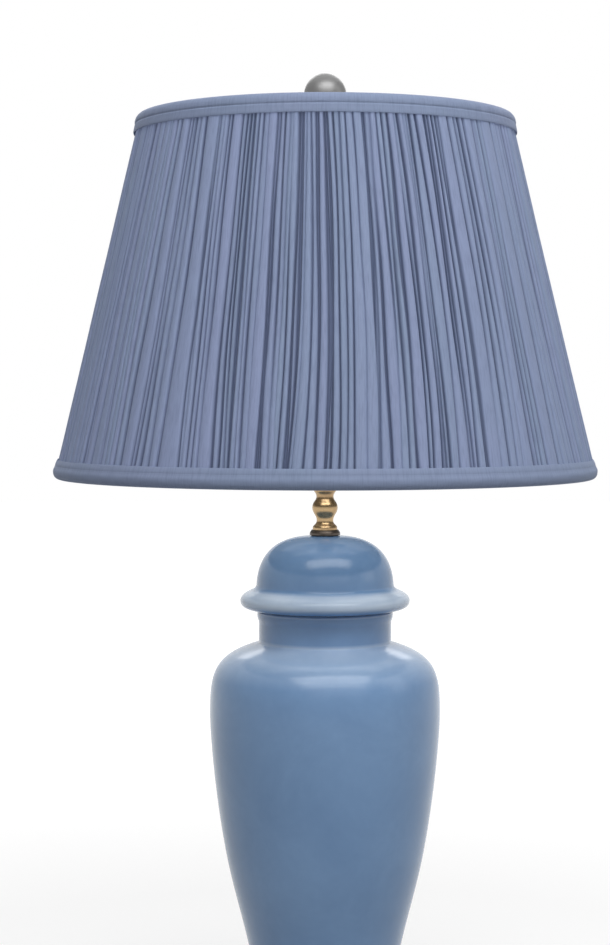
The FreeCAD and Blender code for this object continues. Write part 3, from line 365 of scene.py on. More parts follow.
def cut(piece: bpy.types.Object, cutters: Sequence[bpy.types.Object]) -> None:
    """Take each cutter's solid out of a piece for good, then remove the cutters.

    Args:
        piece: The closed mesh that gets the holes.
        cutters: The closed meshes that are taken out of it.
    """
    for cutter in cutters:
        step = piece.modifiers.new("cut", "BOOLEAN")
        step.operation = "DIFFERENCE"
        step.solver = "EXACT"
        step.object = cutter
    bpy.context.view_layer.update()
    graph = bpy.context.evaluated_depsgraph_get()
    done = bpy.data.meshes.new_from_object(piece.evaluated_get(graph),
                                           preserve_all_data_layers=True, depsgraph=graph)
    piece.modifiers.clear()
    old = piece.data
    piece.data = done
    done.name = old.name + "_cut"
    bpy.data.meshes.remove(old)
    for cutter in cutters:
        bpy.data.objects.remove(cutter)


# ------------------------------------------------------------------ finishes
class Recipe:
    """One material under way: its nodes, its shader and where its patterns take their place."""

    def __init__(self, name: str) -> None:
        """Start an empty material with one principled shader."""
        self.material = bpy.data.materials.new(name)
        self.material.use_nodes = True
        self.tree = self.material.node_tree
        self.tree.nodes.clear()
        self.shader = self.node("ShaderNodeBsdfPrincipled")
        self.output = self.node("ShaderNodeOutputMaterial")
        self.tree.links.new(self.shader.outputs[0], self.output.inputs[0])

    def node(self, kind: str, inputs: Optional[dict[Any, Any]] = None, **settings: Any) -> Any:
        """Add a node.

        Args:
            kind: Its type.
            inputs: Values or output sockets for its input sockets, by name or number.
            settings: Values for its own properties.

        Returns:
            The node.
        """
        made = self.tree.nodes.new(kind)
        for key, value in settings.items():
            setattr(made, key, value)
        for key, value in (inputs or {}).items():
            if isinstance(value, bpy.types.NodeSocket):
                self.tree.links.new(value, made.inputs[key])
            else:
                made.inputs[key].default_value = value
        return made

    def set(self, **values: Any) -> None:
        """Set sockets of the shader: base_color sets "Base Color", and so on."""
        for key, value in values.items():
            socket = self.shader.inputs[key.replace("_", " ").title().replace("Ior", "IOR")]
            if isinstance(value, bpy.types.NodeSocket):
                self.tree.links.new(value, socket)
            elif socket.type == "RGBA":
                socket.default_value = (*value[:3], 1.0)
            else:
                socket.default_value = value

    def place(self, scale: Colour = (1.0, 1.0, 1.0), space: Space = Space.OBJECT) -> Any:
        """Return a place for a pattern, stretched by a scale on each axis."""
        source = self.node("ShaderNodeTexCoord")
        mapping = self.node("ShaderNodeMapping", {0: source.outputs[space.value], 3: scale})
        return mapping.outputs[0]

    def noise(self, place: Any, scale: float, detail: float = 3.0, rough: float = 0.55,
              distortion: float = 0.0) -> Any:
        """Return a cloudy pattern from 0 to 1."""
        made = self.node("ShaderNodeTexNoise", {"Vector": place, "Scale": scale, "Detail": detail,
                                                "Roughness": rough, "Distortion": distortion})
        return made.outputs[0]

    def bands(self, place: Any, period: float, axis: str = "X", distortion: float = 0.0) -> Any:
        """Return even bands across one axis, one every period of the place's units."""
        made = self.node("ShaderNodeTexWave", {"Vector": place, "Scale": TURN / 20.0 / period,
                                               "Distortion": distortion, "Detail": 1.0},
                         wave_type="BANDS", bands_direction=axis, wave_profile="SIN")
        return made.outputs["Fac"]

    def mark(self, name: str) -> Any:
        """Return a piece's own mark, a number for each vertex."""
        return self.node("ShaderNodeAttribute", attribute_name=name).outputs["Fac"]

    def math(self, operation: str, first: Any, second: Any) -> Any:
        """Return one sum of two numbers, such as "ADD" or "MULTIPLY"."""
        return self.node("ShaderNodeMath", {0: first, 1: second}, operation=operation).outputs[0]

    def ramp(self, value: Any, low: float, high: float, to_low: float, to_high: float) -> Any:
        """Return a number carried from one range to another and kept inside it."""
        return self.node("ShaderNodeMapRange", {0: value, 1: low, 2: high, 3: to_low, 4: to_high},
                         clamp=True).outputs[0]

    def mix(self, share: Any, first: Any, second: Any, blend: str = "MIX") -> Any:
        """Return two colours mixed by a share, or blended in another way."""
        made = self.node("ShaderNodeMix", data_type="RGBA", blend_type=blend)
        for number, value in ((0, share), (6, first), (7, second)):
            if isinstance(value, bpy.types.NodeSocket):
                self.tree.links.new(value, made.inputs[number])
            elif number == 0:
                made.inputs[number].default_value = value
            else:
                made.inputs[number].default_value = (*value[:3], 1.0)
        return made.outputs[2]

    def bump(self, height: Any, depth: float, strength: float = 1.0, under: Any = None) -> Any:
        """Return surface relief, as deep as depth in metres, over an earlier relief."""
        inputs = {"Height": height, "Distance": depth, "Strength": strength}
        if under is not None:
            inputs["Normal"] = under
        return self.node("ShaderNodeBump", inputs).outputs[0]


@dataclass(frozen=True)
class Glaze:
    """Gloss glaze over white clay: mottled blue, paler where it breaks on edges, with painted
    highlights.
    """

    deep: Colour = (0.146, 0.275, 0.492)
    light: Colour = (0.186, 0.332, 0.566)
    pale_break_and_highlight: Colour = (0.64, 0.75, 0.88)
    bare: Colour = (0.62, 0.58, 0.52)

    def material(self, name: str) -> bpy.types.Material:
        """Make the glaze: clouds, fine mottling, pale breaks and painted highlights, and a faint
        orange-peel relief.
        """
        r = Recipe(name)
        place = r.place()
        clouds = r.noise(place, 14.0, 4.0, 0.6, 0.4)
        colour = r.mix(r.ramp(clouds, 0.3, 0.7, 0.0, 1.0), self.deep, self.light)
        mottle = r.ramp(r.noise(place, 130.0, 3.0), 0.35, 0.65, 0.0, 0.16)
        colour = r.mix(mottle, colour, self.deep)
        # The edge mark is partly the pale break on sharp edges and partly a painted highlight on
        # the flange and upper shoulder; both turn the glaze towards the pale colour.
        edge = r.math("MULTIPLY", r.mark("edge"), r.ramp(clouds, 0.2, 0.8, 0.5, 1.0))
        colour = r.mix(edge, colour, self.pale_break_and_highlight)
        colour = r.mix(r.mark("bare"), colour, self.bare)
        r.set(base_color=colour, roughness=0.6, specular_ior_level=0.0,
              coat_weight=r.ramp(r.mark("bare"), 0.0, 1.0, 1.0, 0.05),
              coat_roughness=0.20, coat_ior=1.5)
        peel = r.bump(r.noise(place, 55.0, 2.0), 0.0006, 0.35)
        r.set(normal=r.bump(r.noise(place, 900.0, 1.0), 0.00004, 0.3, peel))
        return r.material


@dataclass(frozen=True)
class WovenCloth:
    """Plain fine cloth on its own map: warp, weft, slubs and small creases along the folds."""

    base: Colour
    other: Colour
    # The shadow colour darkens the slubs, which are thicker threads, and on grooved cloth it is
    # also the painted shade in the grooves.
    shadow: Colour
    crease_depth: float = 0.00025
    sheen: float = 0.06
    thread: float = 0.00042
    fold_tint_and_groove_shade: bool = False

    def material(self, name: str) -> bpy.types.Material:
        """Make the cloth, with its colour drifting from fold to fold and painted shade in a groove.
        """
        r = Recipe(name)
        here = r.place()
        cloth = r.place(space=Space.CLOTH)
        drift = r.noise(here, 9.0, 2.0)
        if self.fold_tint_and_groove_shade:
            drift = r.math("ADD", r.math("MULTIPLY", drift, 0.5),
                           r.math("MULTIPLY", r.mark("tint"), 0.5))
        colour = r.mix(r.ramp(drift, 0.3, 0.7, 0.0, 1.0), self.base, self.other)
        slubs = r.noise(r.place((900.0, 60.0, 1.0), Space.CLOTH), 1.0, 2.0)
        colour = r.mix(r.ramp(slubs, 0.45, 0.75, 0.0, 0.22), colour, self.shadow)
        # Painted shade: the cloth darkens towards the shadow colour as the groove mark deepens.
        if self.fold_tint_and_groove_shade:
            depth = r.ramp(r.mark("groove"), 0.22, 0.68, 0.0, 0.80)
            colour = r.mix(depth, colour, self.shadow)
        warp = r.bands(cloth, self.thread, "X", 0.4)
        weft = r.bands(cloth, self.thread * 1.1, "Y", 0.4)
        weave = r.math("ADD", warp, weft)
        creases = r.noise(r.place((420.0, 22.0, 1.0), Space.CLOTH), 1.0, 3.0, 0.6)
        relief = r.bump(creases, self.crease_depth, 0.8)
        r.set(base_color=colour, roughness=0.72, specular_ior_level=0.3, sheen_weight=self.sheen,
              sheen_roughness=0.45, normal=r.bump(weave, 0.00006, 0.5, relief))
        return r.material


@dataclass(frozen=True)
class Metal:
    """Solid or plated metal, turned or brushed round the axis, slightly toned with age."""

    base: Colour
    toned: Colour
    roughness: float
    lines: float = 0.0
    tone: float = 0.5

    def material(self, name: str) -> bpy.types.Material:
        """Make the metal: cloudy tone, uneven roughness and fine lines round the piece."""
        r = Recipe(name)
        place = r.place()
        tone = r.ramp(r.noise(place, 70.0, 4.0), 0.45, 0.75, 0.0, self.tone)
        lines = r.noise(r.place((25.0, 25.0, 2600.0)), 1.0, 3.0)
        rough = r.math("ADD", r.ramp(lines, 0.3, 0.7, -0.05, 0.05),
                       r.ramp(tone, 0.0, 1.0, self.roughness, self.roughness + 0.18))
        r.set(base_color=r.mix(tone, self.base, self.toned), metallic=1.0, roughness=rough,
              normal=r.bump(lines, 0.00005, self.lines))
        return r.material


@dataclass(frozen=True)
class Moulded:
    """Moulded plastic, rubber, enamel or pressed board: one colour with a fine grain."""

    base: Colour
    other: Colour
    roughness: float
    grain: float = 600.0
    relief: float = 0.00004
    coat: float = 0.0

    def material(self, name: str) -> bpy.types.Material:
        """Make it: a slight drift of colour, worn roughness and grain."""
        r = Recipe(name)
        place = r.place()
        drift = r.ramp(r.noise(place, 45.0, 3.0), 0.35, 0.7, 0.0, 1.0)
        grain = r.noise(place, self.grain, 3.0)
        rough = r.ramp(drift, 0.0, 1.0, self.roughness, min(1.0, self.roughness + 0.12))
        r.set(base_color=r.mix(drift, self.base, self.other), roughness=rough,
              coat_weight=self.coat, coat_roughness=0.12, normal=r.bump(grain, self.relief, 0.6))
        return r.material


@dataclass(frozen=True)
class Felt:
    """Pressed wool: matted fibres, with a soft sheen."""

    base: Colour = (0.030, 0.040, 0.036)
    other: Colour = (0.060, 0.072, 0.066)

    def material(self, name: str) -> bpy.types.Material:
        """Make the felt: long twisted noise for its fibres, in colour and relief."""
        r = Recipe(name)
        fibres = r.noise(r.place(), 850.0, 5.0, 0.7, 2.5)
        r.set(base_color=r.mix(r.ramp(fibres, 0.35, 0.7, 0.0, 1.0), self.base, self.other),
              roughness=0.95, specular_ior_level=0.1, sheen_weight=0.5, sheen_roughness=0.6,
              normal=r.bump(fibres, 0.0004, 0.8))
        return r.material


@dataclass(frozen=True)
class Frosted:
    """Glass with an etched inside: milky, and it lets some light through."""

    base: Colour = (0.90, 0.90, 0.88)

    def material(self, name: str) -> bpy.types.Material:
        """Make the glass: a smooth outer face over a fine cloudy frost."""
        r = Recipe(name)
        frost = r.noise(r.place(), 300.0, 3.0)
        r.set(base_color=r.mix(r.ramp(frost, 0.3, 0.7, 0.0, 1.0), self.base, (0.82, 0.83, 0.82)),
              roughness=0.45, transmission_weight=0.25, ior=1.45, coat_weight=0.8,
              coat_roughness=0.05, normal=r.bump(frost, 0.00005, 0.4))
        return r.material


BLUE = (0.272, 0.325, 0.508)
BLUE_GREY = (0.252, 0.318, 0.474)
BLUE_DEEP = (0.060, 0.080, 0.150)

FINISHES: dict[Slot, Any] = {
    Slot.JAR_GLAZE: Glaze(),
    Slot.SHADE_CLOTH: WovenCloth(BLUE, BLUE_GREY, BLUE_DEEP, fold_tint_and_groove_shade=True),
    Slot.BINDING_CLOTH: WovenCloth((0.242, 0.292, 0.440), (0.225, 0.284, 0.420), BLUE_DEEP,
                                   crease_depth=0.00012),
    Slot.LINING_CLOTH: WovenCloth((0.74, 0.71, 0.65), (0.70, 0.675, 0.62), (0.55, 0.52, 0.46),
                                  crease_depth=0.00008, sheen=0.1),
    Slot.BRIGHT_BRASS: Metal((0.47, 0.33, 0.18), (0.24, 0.14, 0.08), 0.27, 0.3),
    Slot.DARK_BRASS: Metal((0.12, 0.10, 0.085), (0.05, 0.042, 0.036), 0.34, 0.3, 0.8),
    Slot.NICKEL: Metal((0.17, 0.17, 0.17), (0.13, 0.13, 0.13), 0.42, 0.5),
    Slot.ZINC: Metal((0.50, 0.51, 0.52), (0.34, 0.33, 0.31), 0.38, 0.2),
    Slot.FRAME_WIRE: Moulded((0.72, 0.71, 0.66), (0.64, 0.62, 0.56), 0.35, 500.0, coat=0.4),
    Slot.ALUMINIUM: Metal((0.60, 0.60, 0.61), (0.45, 0.45, 0.46), 0.32, 0.4),
    Slot.BAKELITE: Moulded((0.020, 0.017, 0.015), (0.034, 0.026, 0.020), 0.28, coat=0.5),
    Slot.LINER_BOARD: Moulded((0.36, 0.27, 0.17), (0.27, 0.20, 0.12), 0.85, 900.0, 0.0001),
    Slot.BUSHING_PLASTIC: Moulded((0.025, 0.025, 0.026), (0.036, 0.036, 0.036), 0.4),
    Slot.SEAL_RUBBER: Moulded((0.030, 0.030, 0.030), (0.045, 0.044, 0.042), 0.7, 700.0),
    Slot.FOOT_FELT: Felt(),
    Slot.FROSTED_GLASS: Frosted(),
}


class FinishShelf:
    """Makes each finish once and hands it out by its slot."""

    def __init__(self) -> None:
        """Start with nothing made."""
        self.made: dict[Slot, bpy.types.Material] = {}

    def get(self, slot: Slot) -> bpy.types.Material:
        """Return the slot's material, made at its first use."""
        if slot not in self.made:
            self.made[slot] = FINISHES[slot].material(f"finish_{slot.value}")
        return self.made[slot]

    def dress(self, piece: bpy.types.Object, slot: Slot, body: str, *nodes: str) -> None:
        """Give a new piece its finish, its body and the nodes that it stands for.

        Args:
            piece: The new piece.
            slot: The record's slot that its finish belongs to.
            body: The body that it rides on.
            nodes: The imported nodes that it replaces.
        """
        piece.data.materials.clear()
        piece.data.materials.append(self.get(slot))
        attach(piece, body)
        if nodes:
            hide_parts(*nodes)
        log.info("%s: %d faces on %s", piece.name, len(piece.data.polygons), body)


# ------------------------------------------------------------------ the jar
@dataclass
class CeramicJar:
    """The thrown and glazed jar, its lid and the felt under its foot."""

    shelf: FinishShelf
    columns: int = 224
    foot_level: float = 2.0
    foot: float = 67.0
    foot_wall: float = 7.0
    waist: float = 61.0
    waist_height: float = 38.0
    flank: float = 82.4
    flank_height: float = 139.4
    flank_slope: float = 0.205
    belly: float = 97.8
    belly_height: float = 269.0
    shoulder_height: float = 326.5
    neck: float = 56.2
    neck_length: float = 27.5
    mouth: float = 57.6
    wall: float = 6.0
    edge: float = 1.2
    floor: float = 24.0
    floor_top: float = 32.0
    floor_hole: float = 7.0
    cord_hole: float = 5.2
    cord_level: float = 13.0
    lid_level: float = 347.0
    lip: float = 10.0
    lip_radius: float = 49.2
    flange: float = 71.8
    flange_rise: float = 16.0
    dome: float = 58.2
    dome_height: float = 62.0
    dome_hole: float = 6.5
    crown: float = 13.0
    break_bend: float = 0.15
    felt_inner: float = 60.5
    felt_outer: float = 66.0
    felt_height: float = 1.98
    felt_columns: int = 160
    foot_straight: float = 4.0
    hand_sway: float = 0.12
    felt_sway: float = 0.08
    cord_drill_start: float = 45.0
    cord_drill_end: float = 75.0
    # Strengths of the painted highlights on the jar's upper shoulder and on the lid's flange.
    shoulder_painted_highlight: float = 0.58
    flange_painted_highlight: float = 0.92

    def jar_outline(self) -> np.ndarray:
        """Return the jar's section: foot, flank, belly, shoulder, neck, then the inside."""
        rise = self.belly_height - self.flank_height
        top = self.shoulder_height - self.belly_height
        down, up = (self.flank_height - self.waist_height) * 0.345, rise * 0.347
        pull = (self.belly - self.neck) * 0.88
        low = self.waist_height * 0.66
        mouth_level = self.shoulder_height + self.neck_length
        bore = self.neck - self.wall
        inner = (self.waist - self.wall, self.flank - self.wall, self.belly - self.wall)
        shape = Outline(self.foot - self.foot_wall, 0.0)
        shape.line((self.foot - self.edge, 0.0), (self.foot, self.edge),
                   (self.foot, self.foot_straight))
        shape.curve((self.foot, self.waist_height * 0.5), (self.waist, self.waist_height * 0.6),
                    (self.waist, self.waist_height))
        shape.curve((self.waist, self.waist_height + low),
                    (self.flank - self.flank_slope * down, self.flank_height - down),
                    (self.flank, self.flank_height), 26)
        shape.curve((self.flank + self.flank_slope * up, self.flank_height + up),
                    (self.belly, self.belly_height - rise * 0.193),
                    (self.belly, self.belly_height), 30)
        shape.curve((self.belly, self.belly_height + top * 0.6),
                    (self.neck + pull, self.shoulder_height - top * 0.18),
                    (self.neck, self.shoulder_height), 36)
        shape.line((self.neck, self.shoulder_height + self.neck_length * 0.6))
        shape.curve((self.neck, self.shoulder_height + self.neck_length * 0.72),
                    (self.mouth, self.shoulder_height + self.neck_length * 0.74),
                    (self.mouth, self.shoulder_height + self.neck_length * 0.84), 8)
        shape.line((self.mouth, mouth_level - self.edge), (self.mouth - self.edge, mouth_level),
                   (bore + self.edge, mouth_level), (bore, mouth_level - self.edge),
                   (bore, self.shoulder_height - self.wall))
        shape.curve((bore + pull, self.shoulder_height - self.wall - top * 0.1),
                    (inner[2], self.belly_height + top * 0.55), (inner[2], self.belly_height))
        shape.curve((inner[2], self.belly_height - rise * 0.193),
                    (inner[1] + self.flank_slope * up, self.flank_height + up),
                    (inner[1], self.flank_height))
        shape.curve((inner[1] - self.flank_slope * down, self.flank_height - down),
                    (inner[0], self.waist_height + low), (inner[0], self.waist_height))
        shape.curve((inner[0], self.floor_top + self.edge * 2),
                    (inner[0] - self.edge, self.floor_top),
                    (inner[0] - self.edge * 6, self.floor_top), 6)
        recess = self.waist - self.foot_wall
        shape.line((self.floor_hole, self.floor_top), (self.floor_hole, self.floor),
                   (recess - self.edge * 5, self.floor))
        shape.curve((recess - self.edge, self.floor), (recess, self.floor - self.edge),
                    (recess, self.floor - self.edge * 4), 6)
        return shape.points()

    def lid_outline(self) -> np.ndarray:
        """Return the lid's section: lip, flange, dome, hole, then the inside."""
        lip, rise, dome = self.lip, self.flange_rise, self.dome
        over = self.flange - dome
        start = rise * 1.31
        climb = self.dome_height - start
        bore = self.lip_radius - self.wall * 0.85
        inner = dome - self.wall
        top = lip + self.dome_height
        shape = Outline(bore, 0.0)
        shape.line((self.lip_radius, 0.0), (self.lip_radius, lip), (dome + over * 0.28, lip))
        shape.curve((dome + over * 0.72, lip + rise * 0.04), (self.flange, lip + rise * 0.19),
                    (self.flange, lip + rise * 0.45), 16)
        shape.curve((self.flange, lip + rise * 0.75), (dome + over * 0.57, lip + rise * 0.91),
                    (dome + over * 0.32, lip + rise), 16)
        shape.curve((dome + over * 0.1, lip + rise * 1.08), (dome + over * 0.01, lip + rise * 1.19),
                    (dome, lip + start), 10)
        shape.curve((dome * 0.98, lip + start + climb * 0.51),
                    (dome * 0.79, lip + start + climb * 0.98), (self.crown, top), 36)
        shape.line((self.dome_hole, top), (self.dome_hole, top - self.wall),
                   (self.crown, top - self.wall))
        shape.curve((inner * 0.79, lip + start + climb * 0.96 - self.wall * 0.9),
                    (inner * 0.98, lip + start + climb * 0.46), (inner, lip + start))
        shape.line((inner, lip + rise * 0.7))
        shape.curve((inner, lip + rise * 0.4), (bore, lip + rise * 0.5), (bore, lip), 8)
        return shape.points()

    def glazed(self, name: str, section: np.ndarray, lift: float, bare: np.ndarray,
               thin: np.ndarray) -> bpy.types.Object:
        """Turn a glazed piece, marked with its pale breaks, painted highlights and bare clay.

        Sharp edges break pale: their mark is how far their bend passes the break bend.

        Args:
            name: The piece's name.
            section: Its finished section.
            lift: The level of the section's zero.
            bare: 1 for each point of unglazed clay.
            thin: How strong the painted highlight is at each point, from 0 to 1.

        Returns:
            The piece.
        """
        edge = np.clip((bend_of(section) - self.break_bend) / 0.3, 0.0, 0.5)
        # The edge mark takes the larger of the pale break and the painted highlight.
        marks = {"edge": np.maximum(edge, thin), "bare": bare}
        return turned(section, self.columns, lift, self.hand_sway, marks=marks).make(name)

    def build_jar(self) -> None:
        """Build the jar, with the cord's hole through the back of its foot."""
        section = refine(soften(self.jar_outline(), 1.0), 3.0)
        bare = (section[:, 1] < 0.6).astype(float)
        # Painted highlight: the glaze grows paler from halfway up the shoulder to the neck.
        near_neck = (section[:, 1] - self.belly_height) / (self.shoulder_height - self.belly_height)
        thin = self.shoulder_painted_highlight * np.clip(near_neck * 2.2 - 1.1, 0.0, 1.0) * (near_neck < 1.03)
        jar = self.glazed("glazed_jar", section, self.foot_level, bare, thin)
        ends = [np.array([0.0, reach, self.cord_level]) * MM
                for reach in (self.cord_drill_start, self.cord_drill_end)]
        cut(jar, [rod("cord_hole", ends[0], ends[1], self.cord_hole * MM)])
        self.shelf.dress(jar, Slot.JAR_GLAZE, "base", "jar_body")

    def build_lid(self) -> None:
        """Build the lid, its lip bare where it sits in the neck."""
        section = refine(soften(self.lid_outline(), 0.9), 2.4)
        bare = ((section[:, 1] < self.lip + 0.3) & (section[:, 0] < self.mouth)).astype(float)
        # Painted highlight: the flange is made paler outward of the dome and upward from just above
        # its underside.
        over = np.clip((section[:, 0] - self.dome - 1.0) / 4.0, 0.0, 1.0)
        upper = np.clip((section[:, 1] - self.lip - 0.12 * self.flange_rise) / 4.0, 0.0, 1.0)
        thin = self.flange_painted_highlight * over * upper
        lid = self.glazed("glazed_lid", section, self.lid_level, bare, thin)
        self.shelf.dress(lid, Slot.JAR_GLAZE, "base", "jar_lid")

    def build_felt(self) -> None:
        """Build the felt: a flat ring with soft edges and a slightly uneven outline."""
        shape = Outline(self.felt_inner, 0.0)
        shape.line((self.felt_outer, 0.0), (self.felt_outer, self.felt_height),
                   (self.felt_inner, self.felt_height))
        section = refine(soften(shape.points(), 0.7), 0.6)
        felt = turned(section, self.felt_columns, 0.0, self.felt_sway).make("felt_foot_ring")
        self.shelf.dress(felt, Slot.FOOT_FELT, "base", "base_felt")

    def build(self) -> None:
        """Build the three pieces."""
        self.build_jar()
        self.build_lid()
        self.build_felt()


# ------------------------------------------------------------------ turned metal and glass
@dataclass
class TurnedMetal:
    """The brass column on the lid and the finial that holds the shade."""

    shelf: FinishShelf
    columns: int = 128
    bore: float = 5.2
    ring_level: float = 419.8
    ring: float = 13.0
    ring_height: float = 4.4
    neck_level: float = 424.2
    foot: float = 10.5
    foot_height: float = 1.6
    waist: float = 7.1
    waist_height: float = 7.9
    bulge: float = 10.85
    bulge_height: float = 18.8
    throat: float = 7.3
    throat_height: float = 28.2
    flare: float = 9.6
    neck_height: float = 34.8
    finial_level: float = 760.2
    finial_bore: float = 3.225
    finial_bore_depth: float = 10.5
    finial_foot: float = 8.0
    finial_neck: float = 4.6
    finial_cup: float = 6.8
    finial_height: float = 13.5
    ball: float = 17.75
    ball_flat: float = 4.76

    def build_seat_ring(self) -> None:
        """Build the dark ring that the column stands on, with a worn shoulder."""
        ring, height = self.ring, self.ring_height
        shape = Outline(self.bore, 0.0)
        shape.line((ring, 0.0), (ring, height * 0.35))
        shape.curve((ring, height * 0.62), (ring * 0.92, height * 0.7),
                    (ring * 0.915, height * 0.85), 8)
        shape.line((ring * 0.9, height), (self.bore, height))
        section = refine(soften(shape.points(), 0.35), 0.8)
        piece = turned(section, self.columns, self.ring_level).make("seat_ring_turned")
        self.shelf.dress(piece, Slot.DARK_BRASS, "base", "neck_seat_ring")

    def build_neck(self) -> None:
        """Build the brass column: foot, waist, bulge, throat and flare."""
        climb = self.waist_height - self.foot_height
        swell = self.bulge_height - self.waist_height
        draw = self.throat_height - self.bulge_height
        open_out = self.neck_height - self.throat_height
        shape = Outline(self.bore, 0.0)
        shape.line((self.foot, 0.0), (self.foot, self.foot_height))
        shape.curve((self.foot, self.foot_height + climb * 0.4),
                    (self.waist, self.foot_height + climb * 0.45), (self.waist, self.waist_height))
        shape.curve((self.waist, self.waist_height + swell * 0.42),
                    (self.bulge, self.waist_height + swell * 0.56), (self.bulge, self.bulge_height))
        shape.curve((self.bulge, self.bulge_height + draw * 0.5),
                    (self.throat, self.bulge_height + draw * 0.6),
                    (self.throat, self.throat_height))
        shape.curve((self.throat, self.throat_height + open_out * 0.5),
                    (self.flare, self.throat_height + open_out * 0.55),
                    (self.flare, self.neck_height - open_out * 0.1))
        shape.line((self.flare, self.neck_height), (self.bore, self.neck_height))
        section = refine(soften(shape.points(), 0.3), 0.8)
        piece = turned(section, self.columns, self.neck_level).make("neck_turned")
        self.shelf.dress(piece, Slot.BRIGHT_BRASS, "base", "brass_neck")

    def build_finial(self) -> None:
        """Build the finial's base, hollow for the stud, and the ball on its cup."""
        height = self.finial_height
        foot, neck, cup = self.finial_foot, self.finial_neck, self.finial_cup
        shape = Outline(0.0, self.finial_bore_depth)
        shape.line((self.finial_bore, self.finial_bore_depth), (self.finial_bore, 0.0), (foot, 0.0),
                   (foot, height * 0.15))
        shape.curve((foot, height * 0.34), (neck, height * 0.36), (neck, height * 0.56))
        shape.curve((neck, height * 0.74), (cup, height * 0.8), (cup, height * 0.95))
        shape.line((cup, height), (0.0, height))
        section = refine(soften(shape.points(), 0.3, closed=False), 0.8, closed=False)
        base = turned(section, 96, self.finial_level, closed=False).make("finial_base_turned")
        self.shelf.dress(base, Slot.NICKEL, "finial_screw", "finial_base")
        centre = math.sqrt(self.ball ** 2 - self.ball_flat ** 2)
        start = math.asin(self.ball_flat / self.ball)
        angle = np.linspace(start, math.pi, 72)
        arc = np.column_stack([self.ball * np.sin(angle), centre - self.ball * np.cos(angle)])
        arc[-1, 0] = 0.0
        flat = np.column_stack([np.linspace(0.0, self.ball_flat, 6)[:-1], np.zeros(5)])
        ball = turned(np.vstack([flat, arc]), self.columns, self.finial_level + height,
                      closed=False).make("finial_ball_turned")
        self.shelf.dress(ball, Slot.NICKEL, "finial", "finial_ball")

    def build(self) -> None:
        """Build the four pieces."""
        self.build_seat_ring()
        self.build_neck()
        self.build_finial()


@dataclass
class LampBulb:
    """The bulb's frosted globe, a thin wall of glass."""

    shelf: FinishShelf
    level: float = 499.0
    neck: float = 12.3
    neck_bottom: float = 19.7
    cap_top: float = 26.0
    radius: float = 30.0
    widest: float = 80.0
    length: float = 110.0
    glass: float = 1.0

    def build(self) -> None:
        """Build the globe: the outer face up to the crown, and the inner face back down."""
        swell, crown = self.widest - self.cap_top, self.length - self.widest
        outer = Outline(self.neck, self.neck_bottom)
        outer.line((self.neck, self.cap_top))
        outer.curve((self.neck * 1.06, self.cap_top + swell * 0.35),
                    (self.radius, self.cap_top + swell * 0.52), (self.radius, self.widest), 30)
        outer.curve((self.radius, self.widest + crown * 0.56), (self.radius * 0.56, self.length),
                    (0.0, self.length), 30)
        face = outer.points()
        inner = np.column_stack([np.maximum(face[::-1, 0] - self.glass, 0.0),
                                 np.minimum(face[::-1, 1], self.length - self.glass)])
        inner = inner[inner[:, 0] > 0.0]
        ends = np.array([[0.0, self.length - self.glass]])
        loop = np.vstack([ends, inner, face])
        globe = turned(refine(loop, 1.6, closed=False), 96, self.level,
                       closed=False).make("bulb_envelope")
        self.shelf.dress(globe, Slot.FROSTED_GLASS, "bulb_glass", "bulb_globe")


